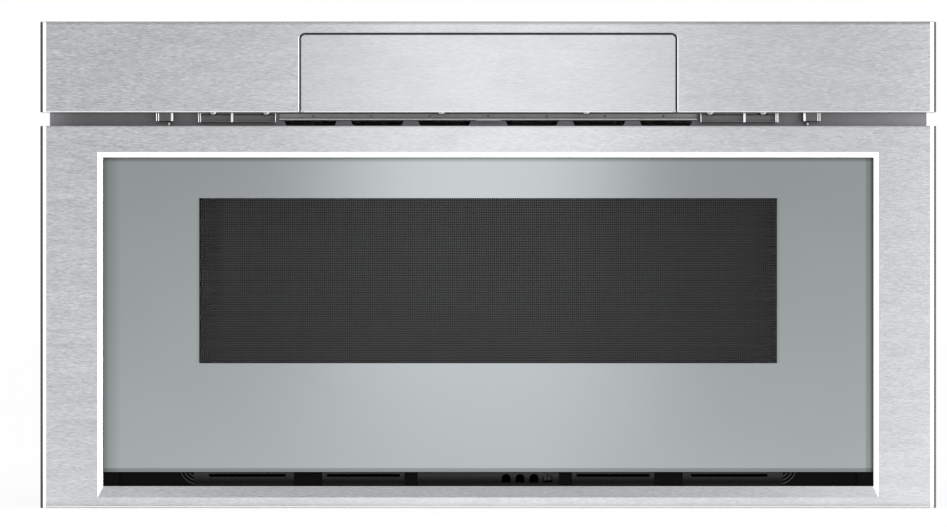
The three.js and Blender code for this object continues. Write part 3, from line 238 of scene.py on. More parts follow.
class DrawerColours(bpy.types.PropertyGroup):
    """Colours of the drawer's finishes."""

    steel: colour("Front steel", "Brushed steel of the strip and the drawer front", (0.4, 0.407, 0.422))
    cut_edge: colour("Cut edge", "Polished bevel round the glass", (0.93, 0.935, 0.94))
    hem: colour("Hem", "Rolled hems and bare sheet edges", (0.55, 0.555, 0.56))
    zinc: colour("Zinc", "Galvanised sheet of the cabinet shell", (0.42, 0.43, 0.44))
    # Painted shade: the flange, bracket and baffle are galvanised sheet like the shell's zinc, given far
    # darker greys for the shade in the gap under the strip.
    flange: colour("Flange", "Grey sheet behind the gap", (0.1, 0.1, 0.103))
    bracket: colour("Bracket", "Grey sheet of the brackets in the gap", (0.108, 0.108, 0.11))
    baffle: colour("Baffle", "Grey sheet of the baffle and the strip mounts", (0.17, 0.17, 0.175))
    # Painted shade: the screws and pins in the gap are the pin metal at a quarter of its brightness.
    dull_pin: colour("Dull screw", "Blackened small screws and pins in the gap", (0.2, 0.2, 0.205))
    rail: colour("Rail", "Plated slide steel", (0.55, 0.56, 0.58))
    pin: colour("Pin", "Bright turned steel", (0.8, 0.8, 0.82))
    enamel: colour("Enamel", "Grey enamel of the oven", (0.42, 0.425, 0.43))
    glass: colour("Glass", "Tint of the drawer front's glass", (0.84, 0.87, 0.87))
    pan_glass: colour("Pan glass", "Tint of the glass floor in the pan", (0.85, 0.9, 0.9))
    print_tone: colour("Glass print", "Satin metallic print round the window", (0.266, 0.285, 0.289))
    screen: colour("Screen", "Dark paint of the window screen", (0.0152, 0.0135, 0.0133))
    black: colour("Black plastic", "Moulded black plastic", (0.006, 0.006, 0.0065))
    # Painted sheen: the inlet pads are about seven times the black plastic's colour.
    pad: colour("Inlet pads", "Rubbed pads of the air inlet", (0.042, 0.042, 0.043))
    grey: colour("Grey plastic", "Moulded grey plastic", (0.16, 0.16, 0.17))
    white: colour("White plastic", "Moulded white plastic", (0.75, 0.75, 0.72))
    aluminium: colour("Aluminium", "Mill finish aluminium", (0.6, 0.61, 0.62))
    mica: colour("Mica", "Stirrer cover", (0.55, 0.47, 0.34))
    core: colour("Iron core", "Varnished iron laminations", (0.1, 0.085, 0.07))
    board: colour("Board", "Circuit board lacquer", (0.03, 0.16, 0.06))
    floor: colour("Floor", "Pale studio floor", (0.9, 0.9, 0.9))


class DrawerSizes(bpy.types.PropertyGroup):
    """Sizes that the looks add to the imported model."""

    front_edge: length("Front edge", "Rounding of the front steel's folded edges", 0.0008)
    sheet_edge: length("Sheet edge", "Rounding of folded and cut sheet", 0.0004)
    grain_length: length("Grain length", "Length of one brush stroke", 0.005)
    grain_pitch: length("Grain pitch", "Distance between brush strokes", 0.0006)
    screen_pitch_x: length("Screen pitch across", "Distance between the screen's holes, across", 0.001786)
    screen_pitch_z: length("Screen pitch up", "Distance between the screen's holes, upwards", 0.002068)
    screen_bar: length("Screen bar", "Width of the metal between two holes", 0.0008)
    print_gap: length("Print gap", "Gap between the glass and the print on its face", 0.00002)


class StudioSettings(bpy.types.PropertyGroup):
    """Light and camera."""

    lens: bpy.props.FloatProperty(
        name="Lens", description="Focal length", default=255.0, subtype="DISTANCE_CAMERA"
    )
    camera_distance: length("Camera distance", "From the origin to the camera", 6.0)
    ambient: factor("Ambient", "Strength of the light from all round", 0.75, 4)
    key: factor("Key", "Strength of the lamp above the camera", 20.0, 200)
    centre_card: factor("Centre card", "Brightness of the tall card behind the camera", 2.3, 10)
    upper_card: factor("Upper card", "Brightness of the card over the camera", 2.2, 10)
    foot_card: factor("Foot card", "Brightness of the card on the floor before the drawer", 2.1, 10)
    low_card: factor("Low card", "Brightness of the wide low card behind the camera", 2.9, 10)
    side_card: factor("Side card", "Brightness of the two cards beside the camera", 2.2, 10)
    back_card: factor("Back card", "Brightness of the two cards behind the oven", 0.2, 10)


def colours():
    """The scene's colours."""
    return bpy.context.scene.drawer_colours


def sizes():
    """The scene's sizes."""
    return bpy.context.scene.drawer_sizes


def studio():
    """The scene's light and camera settings."""
    return bpy.context.scene.drawer_studio


# ---------------------------------------------------------------- shader helpers


def place(tree, kind, inputs=None, **settings):
    """Adds a node. Each input is a plain value or the output socket that feeds it."""
    node = tree.nodes.new(kind)
    for key, value in settings.items():
        setattr(node, key, value)
    for key, value in (inputs or {}).items():
        if isinstance(value, bpy.types.NodeSocket):
            tree.links.new(value, node.inputs[key])
        else:
            node.inputs[key].default_value = value
    return node


def sums(tree, operation, first, second=0.0, third=None):
    """The output of one Math node."""
    inputs = {0: first, 1: second}
    if third is not None:
        inputs[2] = third
    return place(tree, "ShaderNodeMath", inputs, operation=operation).outputs[0]


def times(tree, first, *others):
    """The product of its values."""
    for other in others:
        first = sums(tree, "MULTIPLY", first, other)
    return first


def plus(tree, first, *others):
    """The sum of its values."""
    for other in others:
        first = sums(tree, "ADD", first, other)
    return first


def minus(tree, first, second):
    """The first value less the second."""
    return sums(tree, "SUBTRACT", first, second)


def over(tree, first, second):
    """The first value divided by the second."""
    return sums(tree, "DIVIDE", first, second)


def stretch(tree, value, low, high, new_low, new_high):
    """The output of a clamped Map Range node."""
    inputs = {0: value, 1: low, 2: high, 3: new_low, 4: new_high}
    return place(tree, "ShaderNodeMapRange", inputs).outputs[0]


def noise(tree, vector, scale, detail, **more):
    """Noise of the given scale and detail. more holds other inputs of its node."""
    inputs = {"Vector": vector, "Scale": scale, "Detail": detail, **more}
    return place(tree, "ShaderNodeTexNoise", inputs).outputs["Fac"]


def axes(tree, vector):
    """The X, Y and Z of a vector."""
    return place(tree, "ShaderNodeSeparateXYZ", {0: vector}).outputs


def group_tree(name, inputs, outputs):
    """A shader node group with its named sockets. Returns the tree, its inputs and its output node."""
    tree = bpy.data.node_groups.new(name, "ShaderNodeTree")
    for label, kind, default in inputs:
        socket = tree.interface.new_socket(label, in_out="INPUT", socket_type="NodeSocket" + kind)
        if default is not None:
            socket.default_value = default
    for label in outputs:
        tree.interface.new_socket(label, in_out="OUTPUT", socket_type="NodeSocketFloat")
    return tree, tree.nodes.new("NodeGroupInput").outputs, tree.nodes.new("NodeGroupOutput")


def feed(tree, result, values):
    """Joins each named value to the group's output."""
    for key, value in values.items():
        tree.links.new(value, result.inputs[key])
    return tree


def brushed_grain():
    """Brush strokes along X: noise drawn out by Length against Pitch, with a finer and a broader layer.

    Tone is about 1 and multiplies a colour, Rough is about 0 and adds to a roughness, Height feeds a bump.
    """
    if "brushed_grain" in bpy.data.node_groups:
        return bpy.data.node_groups["brushed_grain"]
    settings = [("Length", "Float", 0.009), ("Pitch", "Float", 0.0009), ("Depth", "Float", 0.1)]
    tree, given, result = group_tree(
        "brushed_grain", [("Vector", "Vector", None), *settings], ["Tone", "Rough", "Height"]
    )
    x, y, z = axes(tree, given["Vector"])
    depth = given["Depth"]

    def layer(along, across, detail):
        scaled = {
            0: over(tree, x, times(tree, given["Length"], along)),
            1: over(tree, y, times(tree, given["Pitch"], across)),
            2: over(tree, z, times(tree, given["Pitch"], across)),
        }
        vector = place(tree, "ShaderNodeCombineXYZ", scaled).outputs[0]
        return noise(tree, vector, 1.0, detail, Roughness=0.6)

    strokes, fine, broad = layer(1.0, 1.0, 2.0), layer(0.6, 0.25, 1.0), layer(9.0, 14.0, 1.0)
    mixed = plus(tree, times(tree, strokes, 0.65), times(tree, fine, 0.35))
    swing = times(tree, minus(tree, mixed, 0.5), depth)
    slow = times(tree, minus(tree, broad, 0.5), times(tree, depth, 0.18))
    contrast = 6.0
    tone = plus(tree, times(tree, swing, contrast), times(tree, slow, contrast), 1.0)
    return feed(tree, result, {"Tone": tone, "Rough": swing, "Height": mixed})


def handling_marks():
    """Faint smudges: slow noise with soft limits. Mark runs from 0 to 1 and is mostly 0."""
    if "handling_marks" in bpy.data.node_groups:
        return bpy.data.node_groups["handling_marks"]
    tree, given, result = group_tree(
        "handling_marks", [("Vector", "Vector", None), ("Size", "Float", 0.06)], ["Mark"]
    )
    scale = over(tree, 1.0, given["Size"])
    value = noise(tree, given["Vector"], scale, 4.0, Roughness=0.55, Distortion=0.6)
    return feed(tree, result, {"Mark": stretch(tree, value, 0.5, 0.75, 0.0, 1.0)})


def moulded_texture():
    """Spark-eroded plastic: fine noise for the height, and a slow cloud for sheen."""
    if "moulded_texture" in bpy.data.node_groups:
        return bpy.data.node_groups["moulded_texture"]
    tree, given, result = group_tree(
        "moulded_texture", [("Vector", "Vector", None), ("Size", "Float", 0.0005)], ["Height", "Cloud"]
    )
    height = noise(tree, given["Vector"], over(tree, 1.0, given["Size"]), 2.0)
    cloud = noise(tree, given["Vector"], 25.0, 3.0)
    return feed(tree, result, {"Height": height, "Cloud": cloud})


def zinc_spangle():
    """Galvanised crystals: flat tones over the cells of a Voronoi pattern of the given Size."""
    if "zinc_spangle" in bpy.data.node_groups:
        return bpy.data.node_groups["zinc_spangle"]
    tree, given, result = group_tree(
        "zinc_spangle", [("Vector", "Vector", None), ("Size", "Float", 0.008)], ["Cell", "Cloud"]
    )
    scale = over(tree, 1.0, given["Size"])
    bend = {"Vector": given["Vector"], "Scale": 90.0, "Detail": 2.0}
    bent = place(tree, "ShaderNodeTexNoise", bend).outputs["Color"]
    moved = place(tree, "ShaderNodeVectorMath", {0: bent, 3: 0.0025}, operation="SCALE").outputs[0]
    both = {0: given["Vector"], 1: moved}
    vector = place(tree, "ShaderNodeVectorMath", both, operation="ADD").outputs[0]
    cells = place(tree, "ShaderNodeTexVoronoi", {"Vector": vector, "Scale": scale})
    cell = place(tree, "ShaderNodeSeparateColor", {0: cells.outputs["Color"]}).outputs[0]
    return feed(tree, result, {"Cell": cell, "Cloud": noise(tree, given["Vector"], 7.0, 3.0)})


def grouped(tree, group, vector, **values):
    """The outputs of a shader group placed on a coordinate with its own values."""
    return place(tree, "ShaderNodeGroup", {"Vector": vector, **values}, node_tree=group).outputs


def new_material(name):
    """A node material. Returns the material, its tree and the Object coordinate."""
    material = bpy.data.materials.new(name)
    material.use_nodes = True
    tree = material.node_tree
    return material, tree, place(tree, "ShaderNodeTexCoord").outputs["Object"]


def wired(material, base, tone, rough, bump=None, plain=None):
    """Feeds the Principled shader and returns the material.

    Its colour is base times tone, rough is its roughness, bump is (height, strength, distance in metres),
    and plain holds the values that are the same all over the surface.
    """
    tree = material.node_tree
    shader = tree.nodes["Principled BSDF"]
    mix = place(tree, "ShaderNodeVectorMath", {0: tuple(base), 3: tone}, operation="SCALE")
    tree.links.new(mix.outputs[0], shader.inputs["Base Color"])
    if bump:
        height, strength, distance = bump
        node = place(tree, "ShaderNodeBump", {"Height": height, "Strength": strength, "Distance": distance})
        tree.links.new(node.outputs[0], shader.inputs["Normal"])
    if isinstance(rough, bpy.types.NodeSocket):
        tree.links.new(rough, shader.inputs["Roughness"])
    else:
        shader.inputs["Roughness"].default_value = rough
    for key, value in (plain or {}).items():
        shader.inputs[key].default_value = value
    return material


# ---------------------------------------------------------------- materials


def brushed_steel(name, base, roughness, depth, shade=None, edge_tint=1.0):
    """Steel brushed along X: strokes in tone, roughness and bump, with faint handling marks.

    The strokes get shallower from the left end to the middle. shade takes the node tree and the sockets of
    X and Z, and gives a factor of painted light and shade on the tone. edge_tint darkens the glancing
    reflection.
    """
    material, tree, vector = new_material(name)
    x, _, z = axes(tree, vector)
    deep = stretch(tree, x, -0.35, 0.0, 1.35 * depth, 0.75 * depth)
    size = {"Length": sizes().grain_length, "Pitch": sizes().grain_pitch}
    strokes = grouped(tree, brushed_grain(), vector, Depth=deep, **size)
    mark = grouped(tree, handling_marks(), vector)["Mark"]
    tone = minus(tree, strokes["Tone"], times(tree, mark, 0.02))
    if shade:
        tone = times(tree, tone, shade(tree, x, z))
    rough = plus(tree, roughness, strokes["Rough"], times(tree, mark, 0.03))
    plain = {"Metallic": 1.0, "Anisotropic": 0.8, "Anisotropic Rotation": 0.25}
    plain["Specular Tint"] = (edge_tint, edge_tint, edge_tint, 1.0)
    return wired(material, base, tone, rough, (strokes["Height"], 0.25, 0.00001), plain)


def polished_metal(name, base, roughness):
    """Turned or polished metal with faint marks in its roughness."""
    material, tree, vector = new_material(name)
    mark = grouped(tree, handling_marks(), vector, Size=0.02)["Mark"]
    tone = minus(tree, 1.0, times(tree, mark, 0.05))
    rough = plus(tree, roughness, times(tree, mark, 0.08))
    return wired(material, base, tone, rough, plain={"Metallic": 1.0})


def galvanised_sheet(name, base, roughness=0.42, size=0.009, shade=None):
    """Zinc-coated sheet: spangle in tone and roughness, a slow cloud over it and a faint rolled bump. shade,
    when given, is a factor of painted light on the tone.
    """
    material, tree, vector = new_material(name)
    spangle = grouped(tree, zinc_spangle(), vector, Size=size)
    tone = plus(tree, 0.8, times(tree, spangle["Cell"], 0.27), times(tree, spangle["Cloud"], 0.12))
    if shade:
        x, _, z = axes(tree, vector)
        tone = times(tree, tone, shade(tree, x, z))
    rough = plus(tree, roughness - 0.06, times(tree, spangle["Cell"], 0.12))
    return wired(material, base, tone, rough, (spangle["Cell"], 0.15, 0.00005), {"Metallic": 1.0})


def clouded(tree, cloud, middle, swing):
    """A value that moves by swing to both sides of its middle with a cloud."""
    return stretch(tree, cloud, 0.3, 0.7, middle - swing, middle + swing)


def moulded_plastic(name, base, roughness=0.45, size=0.0005, sheen=0.08, specular=0.5):
    """Moulded plastic: fine spark-eroded bump and a slow change of sheen."""
    material, tree, vector = new_material(name)
    texture = grouped(tree, moulded_texture(), vector, Size=size)
    tone = clouded(tree, texture["Cloud"], 1.0, 0.06)
    rough = clouded(tree, texture["Cloud"], roughness, sheen)
    plain = {"Specular IOR Level": specular}
    return wired(material, base, tone, rough, (texture["Height"], 0.2, 0.00005), plain)


def painted_sheet(name, base, roughness=0.4, coat=0.3, specular=0.5):
    """Enamel or paint: orange-peel bump, a slow cloud in tone and a clear coat."""
    material, tree, vector = new_material(name)
    texture = grouped(tree, moulded_texture(), vector, Size=0.0025)
    tone = clouded(tree, texture["Cloud"], 1.0, 0.04)
    rough = clouded(tree, texture["Cloud"], roughness, 0.05)
    plain = {"Coat Weight": coat, "Coat Roughness": 0.15, "Specular IOR Level": specular}
    return wired(material, base, tone, rough, (texture["Height"], 0.12, 0.0001), plain)


def clear_glass(name, tint, ior):
    """Tinted glass with faint smudges in its roughness."""
    material, tree, vector = new_material(name)
    mark = grouped(tree, handling_marks(), vector)["Mark"]
    tone = minus(tree, 1.0, times(tree, mark, 0.02))
    plain = {"Transmission Weight": 1.0, "IOR": ior}
    return wired(material, tint, tone, times(tree, mark, 0.02), plain=plain)


def window():
    """The window's left, right, lower and upper limits: the screen's outline less the lap that holds it."""
    low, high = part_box("window_screen")
    return low[0] + WINDOW_LAP, high[0] - WINDOW_LAP, low[2] + WINDOW_LAP, high[2] - WINDOW_LAP


def satin_print(name, base):
    """Metallic print round the window, slowly uneven, with painted shade along the glass's rim and beside
    the window.

    Each rim is (coordinate, from, to, factor there, factor here), in metres.
    """
    material, tree, vector = new_material(name)
    cloud = noise(tree, vector, 6.0, 2.0)
    x, _, z = axes(tree, vector)
    (_, _, foot), (side, _, top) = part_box("drawer_glass")
    x0, x1, z0, z1 = window()
    # Painted shade beside the window's left and right edges.
    beside = sums(tree, "MAXIMUM", minus(tree, x0, x), minus(tree, x, x1))
    above = sums(tree, "MAXIMUM", minus(tree, z0, z), minus(tree, z, z1))
    by_side = stretch(tree, beside, 0.0, 0.0035, 0.8, 1.0)
    window_side_shade = sums(tree, "MAXIMUM", by_side, stretch(tree, above, -0.001, 0.0, 0.0, 1.0))
    # Painted shade along the glass's rim.
    rim_shades = (
        (x, -side + 0.0015, -side + 0.004, 0.72, 1.0),
        (x, -side + 0.004, -side + 0.015, 0.74, 1.0),
        (x, side - 0.007, side - 0.0045, 1.0, 0.7),
        (x, side - 0.0026, side - 0.0009, 1.0, 0.4),
        (z, foot + 0.0027, foot + 0.0037, 0.62, 1.0),
        (z, top - 0.0038, top - 0.0006, 1.0, 0.52),
    )
    tone = times(tree, clouded(tree, cloud, 1.0, 0.02), window_side_shade, *(stretch(tree, *rim) for rim in rim_shades))
    return wired(material, base, tone, clouded(tree, cloud, 0.08, 0.01), plain={"Metallic": 1.0})


def inlet_pad(name, base):
    """Black pads of the air inlet: a painted sheen, lightest at the top, with painted shade towards the
    channel's foot.
    """
    material, tree, vector = new_material(name)
    texture = grouped(tree, moulded_texture(), vector)
    low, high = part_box("air_inlet_grille")
    z = axes(tree, vector)[2]
    # Painted light and shade: brighter towards the top of the channel, darker towards its foot.
    rise = stretch(tree, z, low[2] + 0.0028, high[2] - 0.0012, 0.0, 1.0)
    rise = sums(tree, "MULTIPLY_ADD", sums(tree, "POWER", rise, 1.6), 1.5, 0.06)
    rise = plus(tree, rise, stretch(tree, z, low[2] + 0.0012, low[2] + 0.0022, 0.2, 0.0))
    tone = times(tree, rise, clouded(tree, texture["Cloud"], 1.0, 0.1))
    rough = clouded(tree, texture["Cloud"], 0.45, 0.05)
    plain = {"Specular IOR Level": 0.05}
    return wired(material, base, tone, rough, (texture["Height"], 0.2, 0.00005), plain)


def laminated_iron(name, base):
    """Varnished laminations: fine bands across Y, in tone and bump."""
    material, tree, vector = new_material(name)
    wave = {"Vector": vector, "Scale": 320.0, "Distortion": 0.4}
    bands = place(tree, "ShaderNodeTexWave", wave, bands_direction="Y").outputs["Fac"]
    cloud = noise(tree, vector, 40.0, 3.0)
    tone = plus(tree, stretch(tree, bands, 0.0, 1.0, 0.75, 1.05), times(tree, cloud, 0.25))
    rough = clouded(tree, cloud, 0.5, 0.1)
    return wired(material, base, tone, rough, (bands, 0.4, 0.0002), {"Metallic": 0.6})


def mica_sheet(name, base):
    """Pressed mica: flakes in tone and roughness."""
    material, tree, vector = new_material(name)
    flakes = place(tree, "ShaderNodeTexVoronoi", {"Vector": vector, "Scale": 450.0})
    value = place(tree, "ShaderNodeSeparateColor", {0: flakes.outputs["Color"]}).outputs[0]
    cloud = noise(tree, vector, 60.0, 4.0)
    tone = plus(tree, stretch(tree, value, 0.0, 1.0, 0.8, 1.0), times(tree, cloud, 0.2))
    return wired(material, base, tone, stretch(tree, value, 0.0, 1.0, 0.3, 0.6))


def lacquered_board(name, base):
    """Circuit board: lacquer with a grid of lighter tracks, broken up by noise."""
    material, tree, vector = new_material(name)
    tracks = {"Vector": vector, "Scale": 190.0, "Randomness": 0.0}
    lines = place(tree, "ShaderNodeTexVoronoi", tracks, feature="DISTANCE_TO_EDGE").outputs["Distance"]
    broken = stretch(tree, noise(tree, vector, 70.0, 1.0), 0.48, 0.52, 0.0, 1.0)
    mask = times(tree, stretch(tree, lines, 0.06, 0.1, 1.0, 0.0), broken)
    tone = plus(tree, 0.85, times(tree, mask, 0.6))
    rough = stretch(tree, mask, 0.0, 1.0, 0.35, 0.22)
    return wired(material, base, tone, rough, (mask, 0.3, 0.00005), {"Coat Weight": 0.3})


def fold_painted_shade(tree, x, z):
    """Painted shade: the folds along the top of the strip and of the drawer front are darker than their
    faces.
    """
    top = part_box("control_fascia")[1][2]
    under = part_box("drawer_front_frame")[1][2]
    loss = stretch(tree, z, top - 0.0028, top - 0.0022, 0, 1)
    loss = times(tree, loss, stretch(tree, x, -0.35, 0.35, 0.2, 0.36))
    fold = stretch(tree, z, under - 0.0018, under - 0.0006, 0, 0.22)
    fold = times(tree, fold, stretch(tree, z, under + 0.002, under + 0.003, 1, 0))
    return minus(tree, 1.0, plus(tree, loss, fold))


def ledge_painted_light(tree, x, z):
    """Painted light: the ledge lightens towards its ends, most to the right."""
    left = stretch(tree, x, -0.34, -0.2, 0.2, 0.0)
    right = stretch(tree, x, 0.04, 0.34, 0.0, 0.75)
    return plus(tree, 1.0, left, times(tree, right, right))


def flange_painted_light(tree, x, z):
    """Painted light: the flange lightens towards both ends of the gap."""
    left = stretch(tree, x, -0.374, -0.34, 0.95, 0.0)
    right = stretch(tree, x, 0.28, 0.374, 0.0, 0.8)
    return plus(tree, 1.0, times(tree, left, left), right)


# Each material: its function, its colour, the share of that colour, and the function's further values.
RECIPES = {
    # Painted shade darkens the front steel's folds; the ledge steel is the same steel with painted light
    # towards its ends.
    "front_steel": (brushed_steel, "steel", 1.0, 0.18, 0.17, fold_painted_shade),
    "ledge_steel": (brushed_steel, "steel", 1.0, 0.18, 0.17, ledge_painted_light),
    "flap_steel": (brushed_steel, "steel", 1.0, 0.18, 0.1),
    # Painted reflection: darker steel for the outer facets of the rounded upright edges, darker on the left
    # than on the right.
    "left_rolled_edge": (brushed_steel, "steel", 0.225, 0.25, 0.12, None, 0.45),
    "right_rolled_edge": (brushed_steel, "steel", 0.65, 0.25, 0.12, None, 0.45),
    "cut_edge": (polished_metal, "cut_edge", 1.0, 0.12),
    "hem_steel": (polished_metal, "hem", 1.0, 0.2),
    "bright_pin": (polished_metal, "pin", 1.0, 0.18),
    "dull_pin": (polished_metal, "dull_pin", 1.0, 0.16),
    "zinc_sheet": (galvanised_sheet, "zinc", 1.0),
    # Painted shade: the sheets in the gap are galvanised sheet in darker greys, and the mounts darker again
    # than the brackets.
    "flange_sheet": (galvanised_sheet, "flange", 1.0, 0.4, 0.009, flange_painted_light),
    "bracket_sheet": (galvanised_sheet, "bracket", 1.0, 0.4),
    "mount_sheet": (galvanised_sheet, "bracket", 0.72, 0.4),
    "baffle_sheet": (galvanised_sheet, "baffle", 1.0, 0.4),
    "rail_steel": (galvanised_sheet, "rail", 1.0, 0.3, 0.004),
    "aluminium": (galvanised_sheet, "aluminium", 1.0, 0.34, 0.003),
    "enamel": (painted_sheet, "enamel", 1.0, 0.35, 0.4),
    "screen_paint": (painted_sheet, "screen", 1.0, 0.5, 0.0, 0.15),
    "gloss_panel": (painted_sheet, "black", 1.0, 0.07, 1.0),
    "black_plastic": (moulded_plastic, "black", 1.0, 0.4),
    "grey_plastic": (moulded_plastic, "grey", 1.0, 0.5),
    "white_plastic": (moulded_plastic, "white", 1.0, 0.45),
    "key_print": (moulded_plastic, "white", 1.0, 0.5),
    # Painted shade: the inlet's bar and filter take half the black plastic's colour, with little specular.
    "inlet_black": (moulded_plastic, "black", 0.5, 0.5, 0.0005, 0.08, 0.03),
    "inlet_gloss": (moulded_plastic, "black", 1.0, 0.22, 0.0008, 0.04, 0.35),
    "inlet_satin": (inlet_pad, "pad", 1.0),
    "drawer_glass": (clear_glass, "glass", 1.0, 1.15),
    "floor_glass": (clear_glass, "pan_glass", 1.0, 1.5),
    "satin_print": (satin_print, "print_tone", 1.0),
    "mica_sheet": (mica_sheet, "mica", 1.0),
    "iron_core": (laminated_iron, "core", 1.0),
    "circuit_board": (lacquered_board, "board", 1.0),
}
MADE = {}


def known(name):
    """The material of that name, made from its recipe on its first use."""
    if name not in MADE:
        make, tint, share, *values = RECIPES[name]
        MADE[name] = make(name, tuple(share * part for part in getattr(colours(), tint)), *values)
    return MADE[name]


# ---------------------------------------------------------------- pieces


def glow_at(tree, across, up, side=0.0, low=0.0, high=0.0, lean=0.0):
    """The share of a card's glow at a place given as shares of its width and height, 0 outside the card.

    It falls off softly towards both sides and the lower edge, and evenly towards the upper edge, over these
    shares of the card's size. lean is the share that the left end loses against the right end.
    """
    inwards = minus(tree, 0.5, sums(tree, "ABSOLUTE", minus(tree, across, 0.5)))
    glow = stretch(tree, across, 0.1, 0.9, 1.0 - lean, 1.0)
    down = minus(tree, 1.0, up)
    fades = ((inwards, side, "SMOOTHERSTEP"), (up, low, "SMOOTHERSTEP"), (down, high, "LINEAR"))
    for reach, share, kind in fades:
        rise = {0: reach, 1: 0.0, 2: max(share, 0.001), 3: 0.0, 4: 1.0}
        edge = place(tree, "ShaderNodeMapRange", rise, interpolation_type=kind).outputs[0]
        glow = times(tree, glow, edge)
    return glow


def card(name, corners, strength, lean=0.0, layers=()):
    """A glowing card seen only in reflections, from its lower left corner round.

    A card with layers is white, and each layer lies over those before it: its middle, its half widths at
    its foot and top, the heights of its foot and top, its strength and its fades.
    """
    steps = 13
    u, v = np.meshgrid(np.linspace(0, 1, steps), np.linspace(0, 1, steps), indexing="ij")
    flat = np.stack([u, v], -1).reshape(-1, 2)
    a, b, c, d = (np.array(k, dtype=float) for k in corners)
    u, v = u[..., None], v[..., None]
    points = a * (1 - u) * (1 - v) + b * u * (1 - v) + c * u * v + d * (1 - u) * v
    material, tree, vector = new_material(name)
    material.cycles.emission_sampling = "NONE"
    piece = mesh_object(name, points.reshape(-1, 3), grid_faces(steps, steps), material)
    layer = piece.data.uv_layers.new(name="place")
    corner = np.empty(len(piece.data.loops), dtype=int)
    piece.data.loops.foreach_get("vertex_index", corner)
    layer.data.foreach_set("uv", flat[corner].ravel())
    place_uv = place(tree, "ShaderNodeUVMap", uv_map="place").outputs[0]
    across, up, _ = axes(tree, place_uv)
    value = sums(tree, "MULTIPLY_ADD", glow_at(tree, across, up, lean=lean), strength - 1.0, 1.0)
    x, _, z = axes(tree, vector)
    for middle, foot_half, top_half, foot, top, level, fades in layers:
        up = over(tree, minus(tree, z, foot), top - foot)
        width = sums(tree, "MULTIPLY_ADD", up, 2 * (top_half - foot_half), 2 * foot_half)
        across = plus(tree, 0.5, over(tree, minus(tree, x, middle), width))
        change = minus(tree, level, value)
        value = sums(tree, "MULTIPLY_ADD", glow_at(tree, across, up, **fades), change, value)
    emission = place(tree, "ShaderNodeEmission", {"Strength": value}).outputs[0]
    tree.links.new(emission, tree.nodes["Material Output"].inputs["Surface"])
    piece.visible_camera = False
    piece.visible_diffuse = False
    piece.visible_shadow = False
    return piece


def seen_white(tree):
    """1 for camera, glossy and transmission rays."""
    rays = place(tree, "ShaderNodeLightPath").outputs
    first = sums(tree, "MAXIMUM", rays["Is Camera Ray"], rays["Is Glossy Ray"])
    return sums(tree, "MAXIMUM", first, rays["Is Transmission Ray"])


# The floor's limits in X and Y, the lamp's place, the way its light comes from and its size, and the X and Z
# that the camera looks at, in metres.
FLOOR_ENDS = ((-8.0, 8.0), (-0.85, 12.0))
LAMP_PLACE, LAMP_AWAY, LAMP_SIZE = (0.4, -3.2, 3.0), (0.4, -3.2, 2.8), (3.0, 1.5)
VIEW_MIDDLE = (-0.0125, 0.1908)


